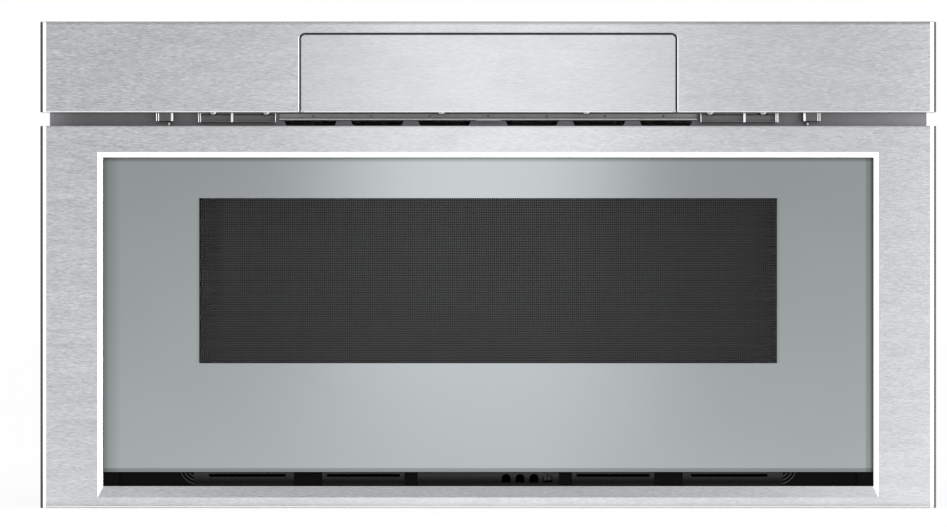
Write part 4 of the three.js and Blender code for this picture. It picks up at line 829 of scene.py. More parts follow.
def make_stage():
    """Floor, world, cards, lamp and camera."""
    scene = bpy.context.scene
    scene.view_settings.view_transform = "Standard"
    world = bpy.data.worlds.new("studio")
    scene.world = world
    world.use_nodes = True
    tree = world.node_tree
    tree.nodes.clear()
    white = seen_white(tree)
    around, bright = (
        place(tree, "ShaderNodeBackground", {"Color": (1, 1, 1, 1), "Strength": strength}).outputs[0]
        for strength in (studio().ambient, 1.0)
    )
    mix = place(tree, "ShaderNodeMixShader", {0: white, 1: around, 2: bright}).outputs[0]
    place(tree, "ShaderNodeOutputWorld", {"Surface": mix})

    low = CAD_BOX[0][2]
    material, tree, vector = new_material("studio_floor")
    material.cycles.emission_sampling = "NONE"
    wired(material, colours().floor, clouded(tree, noise(tree, vector, 3.0, 3.0), 1.0, 0.01), 0.9)
    glow = place(tree, "ShaderNodeEmission", {"Color": (1, 1, 1, 1), "Strength": 1.04}).outputs[0]
    lift = times(tree, seen_white(tree), 0.85)
    painted = tree.nodes["Principled BSDF"].outputs[0]
    blend = place(tree, "ShaderNodeMixShader", {0: lift, 1: painted, 2: glow}).outputs[0]
    tree.links.new(blend, tree.nodes["Material Output"].inputs["Surface"])
    corners = [(x, y, low) for x in FLOOR_ENDS[0] for y in FLOOR_ENDS[1]]
    mesh_object("floor", corners, grid_faces(2, 2), material)

    def upright(name, left, right, bottom, top, strength, **more):
        corners = [(*left, bottom), (*right, bottom), (*right, top), (*left, top)]
        return card(name, corners, strength, **more)

    light = studio()
    layers = [
        (0.0, 1.94, 1.94, -1.94, 0.345, light.low_card, {"side": 0.2, "high": 1.0}),
        (-0.01, 0.65, 0.2, -0.7, 1.6, light.centre_card, {"side": 0.45, "low": 0.5}),
        (0.0775, 0.3125, 0.3125, 0.44, 1.9, light.upper_card, {"side": 0.18, "low": 0.05}),
    ]
    upright("back_wall_card", (-2.0, -7.0), (2.0, -7.0), -2.0, 1.95, 1.0, layers=layers)
    upright("left_card", (-4.5, -1.2), (-1.35, -6.4), -0.5, 1.3, light.side_card)
    upright("right_card", (1.02, -6.66), (4.5, -1.2), -0.5, 1.3, light.side_card * 2.1)
    foot = low + 1 * MM
    corners = [(-0.5, -0.84, foot), (0.5, -0.84, foot), (0.5, -0.33, foot), (-0.5, -0.33, foot)]
    card("foot_card", corners, light.foot_card, lean=0.24)
    upright("left_back_card", (-2.0, 5.0), (-3.0, 1.0), -0.5, 3.0, light.back_card)
    upright("right_back_card", (3.0, 1.0), (2.0, 5.0), -0.5, 3.0, light.back_card)

    lamp = bpy.data.lights.new("key", "AREA")
    lamp.shape = "RECTANGLE"
    lamp.size, lamp.size_y = LAMP_SIZE
    lamp.energy = studio().key
    key = bpy.data.objects.new("key", lamp)
    key.location = LAMP_PLACE
    key.rotation_euler = Vector(LAMP_AWAY).to_track_quat("Z", "Y").to_euler()
    key.visible_glossy = False
    key.visible_transmission = False
    scene.collection.objects.link(key)

    view = bpy.data.cameras.new("camera")
    view.lens = studio().lens
    view.sensor_width = 36.0
    view.clip_end = 60.0
    camera = bpy.data.objects.new("camera", view)
    camera.location = (VIEW_MIDDLE[0], -studio().camera_distance, VIEW_MIDDLE[1])
    camera.rotation_euler = (math.pi / 2, 0, 0)
    scene.collection.objects.link(camera)
    scene.camera = camera


def perforated_screen():
    """The window screen: a plain border and a lattice of upright and level bars between its holes."""
    low, high = (np.array(k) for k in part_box("window_screen"))
    x0, x1, z0, z1 = window()
    front, back = low[1], high[1]
    columns = int(round((x1 - x0) / sizes().screen_pitch_x))
    rows = int(round((z1 - z0) / sizes().screen_pitch_z))
    half = sizes().screen_bar / 2
    x = np.linspace(x0, x1, columns + 1)
    z = np.linspace(z0, z1, rows + 1)
    inset = 0.00002
    upright = [
        np.stack([x - half, np.full_like(x, front), np.full_like(x, z0)], 1),
        np.stack([x + half, np.full_like(x, back), np.full_like(x, z1)], 1),
    ]
    level = [
        np.stack([np.full_like(z, x0), np.full_like(z, front + inset), z - half], 1),
        np.stack([np.full_like(z, x1), np.full_like(z, back - inset), z + half], 1),
    ]
    border_low = [[low[0], front, low[2]], [low[0], front, z1], [low[0], front, z0], [x1, front, z0]]
    border_high = [[high[0], back, z0], [high[0], back, high[2]], [x0, back, z1], [high[0], back, z1]]
    low_all = np.concatenate([upright[0], level[0], border_low])
    high_all = np.concatenate([upright[1], level[1], border_high])
    piece = boxes("window_screen_mesh", low_all, high_all, known("screen_paint"))
    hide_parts("window_screen")
    DRESSED.add("window_screen")
    return finish_piece(piece, "drawer")


PRINT_THICKNESS = 0.08 * MM
# How far the print's opening lies from the window's left, right, lower and upper limits, in millimetres.
PRINT_SHIFT = (-0.7, 0.4, -0.35, -0.25)


def ring(name, outer, inner, front, back, material):
    """A flat rectangular ring: two rectangles (x0, x1, z0, z1) joined at front, back and both edges."""

    def corners(r, y):
        return [[r[0], y, r[2]], [r[1], y, r[2]], [r[1], y, r[3]], [r[0], y, r[3]]]

    turns = ((outer, front), (inner, front), (inner, back), (outer, back))
    loops = np.array([corners(*each) for each in turns])
    return surface(name, loops, material, close_rows=True, close_columns=True, smooth=False)


def make_glass():
    """Tinted drawer glass, the satin print on its face round the window, and the window screen."""
    dress("drawer_glass", known("drawer_glass"))
    low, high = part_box("drawer_glass")
    outer = (low[0], high[0], low[2], high[2])
    inner = tuple(limit + shift * MM for limit, shift in zip(window(), PRINT_SHIFT))
    face = low[1] - sizes().print_gap
    satin = ring("glass_print", outer, inner, face - PRINT_THICKNESS, face, known("satin_print"))
    finish_piece(satin, "drawer")
    perforated_screen()


# The places of the materials on the steel fronts, after the face's own.
POLISHED, LEFT_EDGE, RIGHT_EDGE, LEDGE = 1, 2, 3, 4
# The bevel and the ledge lie within this reach of the glass. The bevel starts above its foot, and the ledge
# lies between its two heights.
BY_GLASS = 8 * MM
BEVEL_FOOT = 4 * MM
LEDGE_HEIGHTS = (-7.2 * MM, 2.2 * MM)
# The rounded upright edges lie outside this distance from the middle.
EDGE_START = CAD_BOX[1][0] - 6 * MM


def make_drawer_front():
    """Folded steel frame of the drawer front, with a polished cut on its bevel."""
    edge = 0.3 * sizes().front_edge
    steel = known("front_steel")
    frame_piece = finished_copy("drawer_front_frame", steel, edge, angle=35, segments=3)
    paint_rolled_edges(frame_piece)
    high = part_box("drawer_glass")[1]

    def bevel(normal, centre):
        sloped = (normal[:, 1] < -0.3) & (normal[:, 1] > -0.8)
        near = (np.abs(centre[:, 0]) < high[0] + BY_GLASS) & (centre[:, 2] < high[2] + BY_GLASS)
        return sloped & near & (centre[:, 2] > BEVEL_FOOT)

    paint_faces(frame_piece, POLISHED, bevel)
    # The ledge takes a copy of the front steel with painted light towards its ends.
    frame_piece.data.materials.append(known("ledge_steel"))

    def ledge(normal, centre):
        low_part = (centre[:, 2] > LEDGE_HEIGHTS[0]) & (centre[:, 2] < LEDGE_HEIGHTS[1])
        facing = (normal[:, 2] > 0.3) & (normal[:, 1] < -0.3)
        return low_part & facing & (np.abs(centre[:, 0]) < high[0] + BY_GLASS)

    paint_faces(frame_piece, LEDGE, ledge)
    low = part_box("drawer_front_frame")[0]
    y, z = low[1] + 0.4 * MM, low[2] + 1.2 * MM
    rolled_hem("drawer_foot_hem", -HEM_END, HEM_END, y, z, 0.6 * MM, "drawer")


def paint_faces(piece, index, chosen):
    """Gives the faces that chosen picks, from arrays of normals and centres, the material of that index."""
    mesh = piece.data
    normal = np.empty(len(mesh.polygons) * 3)
    centre = np.empty(len(mesh.polygons) * 3)
    held = np.empty(len(mesh.polygons), dtype=int)
    mesh.polygons.foreach_get("normal", normal)
    mesh.polygons.foreach_get("center", centre)
    mesh.polygons.foreach_get("material_index", held)
    mask = chosen(normal.reshape(-1, 3), centre.reshape(-1, 3))
    mesh.polygons.foreach_set("material_index", np.where(mask, index, held))
    mesh.update()


def paint_rolled_edges(piece):
    """The rounded upright edges: the facet beside the face is polished, and those outside it take a darker
    steel as a painted reflection, darker on the left than on the right.
    """
    for material in (known("cut_edge"), known("left_rolled_edge"), known("right_rolled_edge")):
        piece.data.materials.append(material)

    def facet(least, most, side):
        def chosen(normal, centre):
            upright_ones = (side * centre[:, 0] > EDGE_START) & (np.abs(normal[:, 2]) < 0.1)
            return upright_ones & (np.abs(normal[:, 0]) > least) & (np.abs(normal[:, 0]) < most)

        return chosen

    for side, index in ((-1, LEFT_EDGE), (1, RIGHT_EDGE)):
        paint_faces(piece, POLISHED, facet(0.15, 0.5, side))
        paint_faces(piece, index, facet(0.5, 0.985, side))


def sweep(name, path, across, up, profile, material):
    """A closed bar: each profile point (a, b) is carried along the path, a along across and b along up."""
    profile = np.array(profile, dtype=float)
    a, b = profile[None, :, :1], profile[None, :, 1:]
    points = path[:, None, :] + a * across[:, None, :] + b * up[:, None, :]
    return surface(name, points, material, close_columns=True, caps=True, smooth=False)


def circle(radius, steps=12):
    """The profile of a round bar: points at even angles round its middle."""
    turn = np.linspace(0, 2 * math.pi, steps, endpoint=False)
    return radius * np.stack([np.cos(turn), np.sin(turn)], 1)


INLET_RIB_RADII = (9.8 * MM, 12.8 * MM, 15.8 * MM)
# Columns, depth and pitch of the pleats of the filter behind the inlet.
FILTER_COLUMNS, PLEAT_DEPTH, PLEAT_PITCH = 1200, 0.35 * MM, 3.2 * MM


def make_inlet():
    """Black air inlet: its bar, three arched ribs at each end and the filter behind its holes."""
    # Painted shade: the bar and the filter take the darkened inlet black.
    deep = known("inlet_black")
    bar = finished_copy("air_inlet_grille", deep, sizes().sheet_edge, join_flats=False)
    bar.data.materials.append(known("inlet_satin"))
    low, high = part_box("air_inlet_grille")
    pad_y = low[1] + 1.6 * MM

    def pads(normal, centre):
        return (normal[:, 1] < -0.9) & (centre[:, 1] < pad_y) & (np.abs(centre[:, 0]) < 0.26)

    paint_faces(bar, 1, pads)
    front = low[1] + 3 * MM
    middle_z = high[2] + 5.5 * MM
    section = [(-0.35 * MM, 0.0), (0.35 * MM, 0.0), (0.35 * MM, -1.3 * MM), (-0.35 * MM, -1.3 * MM)]
    for side, label in ((-1, "left"), (1, "right")):
        for count, radius in enumerate(INLET_RIB_RADII):
            start = math.asin((middle_z - high[2] + 0.0004) / radius)
            turn = np.linspace(start, math.radians(82), 24)
            away = np.stack([side * np.cos(turn), np.zeros(24), -np.sin(turn)], 1)
            path = np.array([side * 0.246, front, middle_z]) + radius * away
            up = np.tile([0.0, 1.0, 0.0], (24, 1))
            rib = sweep(f"{label}_inlet_rib_{count}", path, away, up, section, known("inlet_gloss"))
            finish_piece(rib, "drawer")
    x = np.linspace(low[0] + 2 * MM, high[0] - 2 * MM, FILTER_COLUMNS)
    fold = PLEAT_DEPTH * np.sin(2 * math.pi * x / PLEAT_PITCH)
    face = high[1] + 0.5 * MM + fold
    rows = []
    for y, z in ((face, low[2]), (face, high[2]), (face + 0.0006, high[2]), (face + 0.0006, low[2])):
        rows.append(np.stack([x, y, np.full_like(x, z)], 1))
    rows = np.array(rows).transpose(1, 0, 2)
    filter_sheet = surface("inlet_filter", rows, deep, close_columns=True, caps=True)
    finish_piece(filter_sheet, "drawer")


def rolled_hem(name, x0, x1, y, z, radius, body):
    """A bright hem along X: a circle of the given radius round the line from x0 to x1."""
    profile = circle(radius)
    path = np.array([[x0, y, z], [x1, y, z]])
    across, up = np.tile([0.0, 1.0, 0.0], (2, 1)), np.tile([0.0, 0.0, 1.0], (2, 1))
    return finish_piece(sweep(name, path, across, up, profile, known("cut_edge")), body)


def edge_roll(name, offset, radius, y, material, body):
    """A round bar along the flap cover's left, top and right edges, its middle line offset outwards."""
    low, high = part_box("flap_cover")
    corner = 4 * MM + offset
    x, z0, z1 = high[0] + offset, low[2] + 1.2 * MM, high[2] + offset
    turn = np.linspace(0, math.pi / 2, 7)
    level = np.zeros(7)
    left = np.stack([-np.cos(turn), level, np.sin(turn)], 1)
    right = np.stack([np.cos(turn), level, np.sin(turn)], 1)[::-1]
    foot = np.array([[-x, y, z0], [x, y, z0]])
    turns = ((-1, left), (1, right))
    arcs = [np.array([side * (x - corner), y, z1 - corner]) + corner * arc for side, arc in turns]
    path = np.concatenate([foot[:1], *arcs, foot[1:]])
    across = np.concatenate([left[:1], left, right, right[-1:]])
    up = np.tile([0.0, -1.0, 0.0], (len(path), 1))
    return finish_piece(sweep(name, path, across, up, circle(radius), material), body)


def screw_heads(name, centres, axis, radius, height, material, body, socket=True):
    """Pan heads with a round socket, or rivet domes without one, one at each centre.

    The section is a list of (share of the height, share of the radius) and goes round the axis. It starts
    and ends on the axis, so each head is closed.
    """
    axis = Vector(axis).normalized()
    across = axis.orthogonal().normalized()
    other = axis.cross(across)
    pan = [(-0.1, 0), (-0.1, 1), (0.4, 1), (0.75, 0.9), (0.95, 0.68), (1, 0.4), (0.45, 0.36), (0.45, 0)]
    dome = [(-0.1, 0), (-0.1, 1), (0.15, 1), (0.45, 0.9), (0.72, 0.7), (0.9, 0.45), (0.98, 0.2), (1, 0)]
    section = pan if socket else dome
    along, spread = np.array(section, dtype=float).T
    turn = np.linspace(0, 2 * math.pi, 20, endpoint=False)
    circle = np.cos(turn)[:, None] * np.array(across) + np.sin(turn)[:, None] * np.array(other)
    one = height * along[:, None, None] * np.array(axis) + radius * spread[:, None, None] * circle
    return finish_piece(repeated(name, one, centres, material), body)


def beads(name, centres, along, normal, length, width, height, material, body):
    """Pressed beads on a sheet, all of one size: stadium outlines that draw in as they rise.

    The height above the sheet is a quarter sine of the share of the half width gone in from the rim. A foot
    below the sheet closes each bead.
    """
    along, normal = np.array(along, dtype=float), np.array(normal, dtype=float)
    across = np.cross(normal, along)
    turn = np.concatenate([np.linspace(-0.5, 0.5, 10), np.linspace(0.5, 1.5, 10)]) * math.pi
    push = np.where(np.arange(20) < 10, 0.5, -0.5) * (length - width)
    inwards = np.array([1.0, 0.0, 0.0, 0.2, 0.45, 0.7, 0.9, 1.0])
    rise = np.array([-0.3, -0.3, 0.0, *np.sin(np.array([0.2, 0.45, 0.7, 0.9, 1.0]) * math.pi / 2)])
    reach = (1 - inwards)[:, None] * width / 2
    one = (push + reach * np.cos(turn))[..., None] * along + (reach * np.sin(turn))[..., None] * across
    one = one + (height * rise)[:, None, None] * normal
    return finish_piece(repeated(name, one, centres, material, smooth=True), body)


def make_strip():
    """Brushed steel control strip with its rolled lower hem."""
    steel, edge = known("front_steel"), sizes().front_edge
    strip = finished_copy("control_fascia", steel, edge, angle=35, segments=3)
    paint_rolled_edges(strip)
    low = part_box("control_fascia")[0]
    seam, out = 1.1 * MM, 0.32 * MM
    y = low[1] + 0.28 * MM
    edge_roll("flap_opening_roll", seam + out, 0.36 * MM, y, known("hem_steel"), "chassis")
    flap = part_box("flap_cover")[1][0] + 1.2 * MM
    rolled_hem("left_strip_hem", -HEM_END, -flap, low[1] + 0.0002, low[2] + 0.0005, HEM_RADIUS, "chassis")
    rolled_hem("right_strip_hem", flap, HEM_END, low[1] + 0.0002, low[2] + 0.0005, HEM_RADIUS, "chassis")


# In the gap, in millimetres: (distance from the middle, half width) of each bracket's upright edges,
# (distance inwards, half width) of each mount's, and the strip's screws from the middle.
BRACKET_RIBS = ((180.8, 0.3), (217.8, 0.9), (244.6, 0.4), (246.2, 0.4))
MOUNT_LIPS = ((1.0, 0.9), (12.4, 0.3), (14.2, 0.3))
STRIP_SCREWS = (188.4, 233.5)
STRIP_SCREWS_Y = -304.5 * MM
LIP_DROP = 6 * MM


def make_gap():
    """What shows in the gap: sheet edges of the brackets and mounts, screws and the baffle's lip."""
    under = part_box("control_fascia")[0][2]
    bright = known("hem_steel")
    bracket_low, bracket_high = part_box("right_gap_bracket")
    mount_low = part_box("right_strip_mount")[0]
    y0, y1 = bracket_low[1] - 0.1 * MM, bracket_high[1] - 1.5 * MM
    z0, z1 = bracket_low[2] + 0.1 * MM, bracket_high[2] - 0.1 * MM
    for side, label in ((-1, "left"), (1, "right")):
        low, high = [], []
        for x, half in BRACKET_RIBS:
            x = side * x * MM
            low.append((x - half * MM, y0, z0))
            high.append((x + half * MM, y1, z1))
        rib = boxes(f"{label}_gap_bracket_ribs", low, high, bright)
        finish_piece(soften(rib, 0.00015), "chassis")
        low, high = [], []
        for inward, half in MOUNT_LIPS:
            x = mount_low[0] + inward * MM
            low.append((side * x - half * MM, mount_low[1] - 0.25 * MM, mount_low[2]))
            high.append((side * x + half * MM, mount_low[1] + 0.5 * MM, under - 0.1 * MM))
        lips = boxes(f"{label}_mount_lips", low, high, bright)
        finish_piece(soften(lips, 0.0003), "chassis")
        spots = [(side * x * MM, STRIP_SCREWS_Y, under) for x in STRIP_SCREWS]
        name, shaded_pin = f"{label}_strip_screws", known("dull_pin")
        screw_heads(name, spots, (0, 0, -1), 0.0037, 0.0024, shaded_pin, "chassis")
    baffle_low, baffle_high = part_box("air_outlet_baffle")
    y, z = baffle_low[1], under - LIP_DROP
    low = (baffle_low[0], y - 0.2 * MM, z + 0.2 * MM)
    high = (baffle_high[0], y + 0.8 * MM, z + 0.7 * MM)
    lip = boxes("baffle_lip", [low], [high], bright)
    finish_piece(soften(lip, 0.12 * MM), "chassis")


def ring_bead(name, centre, radius, half_width, height, material, body):
    """A pressed ring in a sheet that faces +Y: half an ellipse of that half width and height goes round."""
    a = np.linspace(0, math.pi, 9)
    out = np.concatenate([radius + half_width * np.cos(a), [radius - half_width, radius + half_width]])
    rise = np.concatenate([height * np.sin(a), [-0.0003, -0.0003]])
    turn = np.linspace(0, 2 * math.pi, 96, endpoint=False)[:, None]
    x = centre[0] + out * np.cos(turn)
    y = np.broadcast_to(centre[1] + rise, x.shape)
    z = centre[2] + out * np.sin(turn)
    ring_piece = surface(name, np.stack([x, y, z], -1), material, close_rows=True, close_columns=True)
    return finish_piece(ring_piece, body)


def make_shell():
    """Sheet-metal detail of the cabinet shell: laps, beads, screws, rivets and a bare plate."""
    sheet = known("zinc_sheet")

    def heads(name, spots, axis, radius, height, socket=True):
        screw_heads(name, spots, axis, radius, height, known("bright_pin"), "chassis", socket)

    def pressed(name, centres, along, normal, length, width, height):
        beads(name, centres, along, normal, length, width, height, sheet, "chassis")

    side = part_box("right_side_panel")[1][0]
    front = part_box("right_side_panel")[0][1] + 2 * MM
    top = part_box("top_cover")[1][2]
    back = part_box("back_cover")[1][1]
    lap, thick = 15 * MM, 0.8 * MM
    low = [(side - lap, front, top - 0.0001), (-side, front, top - 0.0001)]
    high = [(side, back - 0.001, top + thick), (-side + lap, back - 0.001, top + thick)]
    under = back - 0.0001
    low += [(side - lap, under, 0.001), (-side, under, 0.001), (-side + lap, under, top - lap)]
    high += [(side, back + thick, top), (-side + lap, back + thick, top), (side - lap, back + thick, top)]
    laps = boxes("shell_laps", low, high, sheet)
    finish_piece(soften(laps, 0.0003), "chassis")
    spots = [(s * (side - lap / 2), y, top + thick) for s in (-1, 1) for y in (-0.24, -0.08, 0.08, 0.24)]
    heads("top_screws", spots, (0, 0, 1), 0.0042, 0.0026)
    heights = (0.03, 0.13, 0.24, top - lap / 2)
    spots = [(s * (side - lap / 2), back + thick, z) for s in (-1, 1) for z in heights]
    spots += [(x, back + thick, top - lap / 2) for x in (-0.18, 0.0, 0.18)]
    heads("back_screws", spots, (0, 1, 0), 0.0042, 0.0022)
    spots = [(x, back, 0.009) for x in (-0.24, 0.0, 0.24)]
    heads("foot_screws", spots, (0, 1, 0), 0.0042, 0.0024)
    across = [(0, y, top) for y in (-0.2, -0.1, 0.0, 0.1, 0.2)]
    pressed("top_beads", across, (1, 0, 0), (0, 0, 1), 0.58, 0.016, 0.0018)
    uprights = [(x, back, 0.19) for x in (-0.24, -0.14, 0.14, 0.24)]
    pressed("back_beads", uprights, (0, 0, 1), (0, 1, 0), 0.22, 0.014, 0.0016)
    fan_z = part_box("cooling_fan")
    centre = (0.0, back, (fan_z[0][2] + fan_z[1][2]) / 2)
    ring_bead("grille_ring", centre, 0.067, 0.004, 0.0018, sheet, "chassis")
    low, high = (0.25, under, 0.035), (0.325, back + 0.0006, 0.083)
    plate = boxes("bare_plate", [low], [high], known("aluminium"))
    finish_piece(soften(plate, 0.0003), "chassis")
    spots = [(x, back + 0.0006, 0.059) for x in (0.2545, 0.3205)]
    heads("plate_rivets", spots, (0, 1, 0), 0.0016, 0.0008, socket=False)
    for s, label in ((-1, "left"), (1, "right")):
        uprights = [(s * side, y, 0.185) for y in (-0.2, -0.11, -0.02, 0.07)]
        pressed(f"{label}_side_beads", uprights, (0, 0, 1), (s, 0, 0), 0.27, 0.014, 0.0016)
        spots = [(s * side, y, 0.1) for y in (-0.245, -0.155, -0.065, 0.025, 0.13)]
        heads(f"{label}_rail_rivets", spots, (s, 0, 0), 0.0036, 0.0014, socket=False)
        spots = [(s * side, y, 0.009) for y in (-0.22, -0.05, 0.12, 0.26)]
        heads(f"{label}_foot_screws", spots, (s, 0, 0), 0.004, 0.0024)
    flange_low, flange_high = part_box("front_flange")
    edge = flange_high[0] - 5 * MM
    spots = [(s * edge, flange_low[1], z) for s in (-1, 1) for z in (0.038, 0.188, 0.338)]
    heads("cabinet_screws", spots, (0, -1, 0), 0.0042, 0.0019)


SEGMENTS = {
    "top": (0, 1, 0.5), "middle": (0, 0, 0.5), "foot": (0, -1, 0.5),
    "high_left": (-0.5, 0.5, 0), "high_right": (0.5, 0.5, 0),
    "low_left": (-0.5, -0.5, 0), "low_right": (0.5, -0.5, 0),
}
DIGITS = {
    1: "high_right low_right", 2: "top high_right middle low_left foot",
    3: "top high_right middle low_right foot",
    4: "high_left middle high_right low_right", 5: "top high_left middle low_right foot",
    6: "top high_left middle low_left low_right foot", 7: "top high_right low_right",
    8: "top middle foot high_left high_right low_left low_right",
    9: "top middle foot high_left high_right low_right",
    0: "top foot high_left high_right low_left low_right",
}


def make_touch_panel():
    """Touch panel on the flap's back: number keys 1 to 0, plain function keys and a display window.

    It is read from above with the flap open, so its upper side lies towards the hinge, at low z.
    """
    low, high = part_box("control_glass")
    finished_copy("control_glass", known("gloss_panel"), 0.0006, segments=3)
    y0, y1 = high[1] - 0.00001, high[1] + 0.00006
    bars_low, bars_high = [], []

    def bar(x, up, half_x, half_up):
        z = middle - up
        bars_low.append((x - half_x, y0, z - half_up))
        bars_high.append((x + half_x, y1, z + half_up))

    middle = (low[2] + high[2]) / 2
    tall, line = 0.0042, 0.00045

    def outline(x, up, half_x, half_up):
        bar(x, up + half_up, half_x, 0.0002)
        bar(x, up - half_up, half_x, 0.0002)
        bar(x - half_x, up, 0.0002, half_up + 0.0002)
        bar(x + half_x, up, 0.0002, half_up + 0.0002)

    for place_at, digit in enumerate((1, 2, 3, 4, 5, 6, 7, 8, 9, 0)):
        x = -0.02 + 0.015 * (place_at % 5)
        up = 0.0085 if place_at < 5 else -0.0085
        for part in DIGITS[digit].split():
            dx, dup, level = SEGMENTS[part]
            half_x = tall * 0.28 if level else line / 2
            half_up = line / 2 if level else tall * 0.25
            bar(x + dx * tall * 0.62, up + dup * tall * 0.5, half_x, half_up)
        outline(x, up, 0.0062, 0.0062)
    for x in (-0.118, -0.096, -0.074, 0.078, 0.1, 0.122):
        for up in (0.0085, -0.0085):
            outline(x, up, 0.0085, 0.0052)
            bar(x, up, 0.004, line / 2)
    outline(-0.0455, 0.0, 0.012, 0.014)
    print_piece = boxes("touch_panel_print", bars_low, bars_high, known("key_print"))
    finish_piece(print_piece, "flap")


def make_flap():
    """Control flap: brushed steel cover with its hem, carrier, touch panel, screws, sector and pinion."""
    finished_copy("flap_cover", known("flap_steel"), sizes().front_edge, angle=35, segments=3)
    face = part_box("flap_cover")[0][1]
    # Painted shade: a bar of the darker edge steel round the flap's edges widens the dark seam.
    edge_roll("flap_roll", -0.42 * MM, 0.47 * MM, face + 0.34 * MM, known("left_rolled_edge"), "flap")
    low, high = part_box("flap_cover")
    y, z = low[1] + 0.0002, low[2] + 0.0005
    rolled_hem("flap_hem", low[0] + 0.003, high[0] - 0.003, y, z, HEM_RADIUS, "flap")
    spots = [(-0.0398, low[1] + 0.0042, low[2] + 0.0003), (0.0833, low[1] + 0.0042, low[2] + 0.0003)]
    screw_heads("flap_screws", spots, (0, 0, -1), 0.0036, 0.0024, known("dull_pin"), "flap")
    finished_copy("flap_carrier", known("black_plastic"), 0.0005, smooth_angle=35)
    make_touch_panel()
    finished_copy("flap_sector_gear", known("white_plastic"), 0.0002, smooth_angle=35)
    finished_copy("flap_pinion", known("white_plastic"), 0.0002, smooth_angle=35)


# The material of each finish, and of the nodes that take another one.
FINISHES = {
    "steel_front": "front_steel", "zinc_steel": "zinc_sheet", "bright_pin": "bright_pin",
    "rail_steel": "rail_steel", "cavity_enamel": "enamel", "floor_glass": "floor_glass",
    "control_glass": "black_plastic", "screen_metal": "screen_paint", "black_plastic": "black_plastic",
    "grey_plastic": "grey_plastic", "white_plastic": "white_plastic", "aluminium": "aluminium",
    "mica": "mica_sheet", "iron_core": "iron_core", "circuit_board": "circuit_board",
}
# The sheets in the gap take darker galvanised greys as painted shade, and the locating pins the pin metal
# darkened as painted shade.
PAINTED = {
    "front_flange": "flange_sheet", "air_outlet_baffle": "baffle_sheet",
    "left_strip_mount": "mount_sheet", "right_strip_mount": "mount_sheet",
    "left_gap_bracket": "bracket_sheet", "right_gap_bracket": "bracket_sheet",
    "left_locating_pin": "dull_pin", "right_locating_pin": "dull_pin",
}
SOFT_EDGE = {
    "zinc_steel": 0.0003, "rail_steel": 0.0003, "cavity_enamel": 0.0005, "black_plastic": 0.0005,
    "grey_plastic": 0.0005, "white_plastic": 0.0002, "aluminium": 0.0003, "iron_core": 0.0005,
    "circuit_board": 0.0002, "mica": 0.0001, "bright_pin": 0.0002,
}


def make_rest():
    """Every CAD node that no piece has dressed yet takes the finish of its slot."""
    for node, slot in SLOT_OF.items():
        if node in DRESSED:
            continue
        material = known(PAINTED.get(node, FINISHES[slot]))
        if slot == "floor_glass":
            dress(node, material)
        else:
            finished_copy(node, material, SOFT_EDGE.get(slot, 0.0), smooth_angle=35)


# ---------------------------------------------------------------- operators and panel


class DRAWER_OT_stage(bpy.types.Operator):
    """Floor, world, cards, lamp and camera"""

    bl_idname = "drawer.stage"
    bl_label = "Stage"

    def execute(self, context):
        make_stage()
        return {"FINISHED"}


class DRAWER_OT_front(bpy.types.Operator):
    """Steel frame of the drawer front"""

    bl_idname = "drawer.front"
    bl_label = "Drawer Front"

    def execute(self, context):
        make_drawer_front()
        return {"FINISHED"}


class DRAWER_OT_glass(bpy.types.Operator):
    """Drawer glass, its print and the window screen"""

    bl_idname = "drawer.glass"
    bl_label = "Glass and Screen"

    def execute(self, context):
        make_glass()
        return {"FINISHED"}


class DRAWER_OT_inlet(bpy.types.Operator):
    """Air inlet under the glass"""

    bl_idname = "drawer.inlet"
    bl_label = "Air Inlet"

    def execute(self, context):
        make_inlet()
        return {"FINISHED"}


class DRAWER_OT_strip(bpy.types.Operator):
    """Steel control strip"""

    bl_idname = "drawer.strip"
    bl_label = "Control Strip"

    def execute(self, context):
        make_strip()
        return {"FINISHED"}


class DRAWER_OT_shell(bpy.types.Operator):
    """Laps, beads, screws and rivets of the cabinet shell"""

    bl_idname = "drawer.shell"
    bl_label = "Shell Details"

    def execute(self, context):
        make_shell()
        return {"FINISHED"}


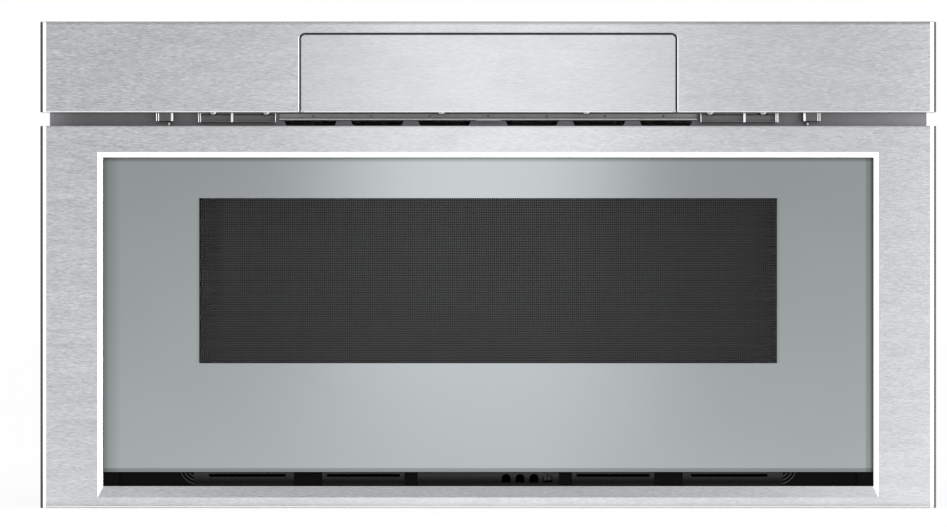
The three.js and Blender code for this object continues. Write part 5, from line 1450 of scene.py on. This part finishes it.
class DRAWER_OT_gap(bpy.types.Operator):
    """Brackets' edges, screws and baffle lip in the gap under the strip"""

    bl_idname = "drawer.gap"
    bl_label = "Gap Details"

    def execute(self, context):
        make_gap()
        return {"FINISHED"}


class DRAWER_OT_flap(bpy.types.Operator):
    """Control flap and its drive"""

    bl_idname = "drawer.flap"
    bl_label = "Control Flap"

    def execute(self, context):
        make_flap()
        return {"FINISHED"}


class DRAWER_OT_rest(bpy.types.Operator):
    """Finishes of the remaining CAD nodes"""

    bl_idname = "drawer.rest"
    bl_label = "Remaining Nodes"

    def execute(self, context):
        make_rest()
        return {"FINISHED"}


OPERATORS = (
    DRAWER_OT_stage, DRAWER_OT_front, DRAWER_OT_glass, DRAWER_OT_inlet, DRAWER_OT_strip, DRAWER_OT_gap,
    DRAWER_OT_flap, DRAWER_OT_shell, DRAWER_OT_rest,
)


class DRAWER_PT_panel(bpy.types.Panel):
    """Lists the drawer's operators and settings"""

    bl_label = "Microwave Drawer"
    bl_idname = "DRAWER_PT_panel"
    bl_space_type = "VIEW_3D"
    bl_region_type = "UI"
    bl_category = "Drawer"

    def draw(self, context):
        for operator in OPERATORS:
            self.layout.operator(operator.bl_idname)
        for settings in (colours(), sizes(), studio()):
            box = self.layout.box()
            for key in settings.__annotations__:
                box.prop(settings, key)


CLASSES = (DrawerColours, DrawerSizes, StudioSettings) + OPERATORS + (DRAWER_PT_panel,)


def register():
    """Registers the classes and the scene's settings."""
    for each in CLASSES:
        bpy.utils.register_class(each)
    bpy.types.Scene.drawer_colours = bpy.props.PointerProperty(type=DrawerColours)
    bpy.types.Scene.drawer_sizes = bpy.props.PointerProperty(type=DrawerSizes)
    bpy.types.Scene.drawer_studio = bpy.props.PointerProperty(type=StudioSettings)


def unregister():
    """Removes the scene's settings and the classes."""
    del bpy.types.Scene.drawer_studio
    del bpy.types.Scene.drawer_sizes
    del bpy.types.Scene.drawer_colours
    for each in reversed(CLASSES):
        bpy.utils.unregister_class(each)


def main():
    register()
    for operator in OPERATORS:
        group, name = operator.bl_idname.split(".")
        getattr(getattr(bpy.ops, group), name)()
    bpy.context.view_layer.update()


if __name__ == "__main__":
    main()
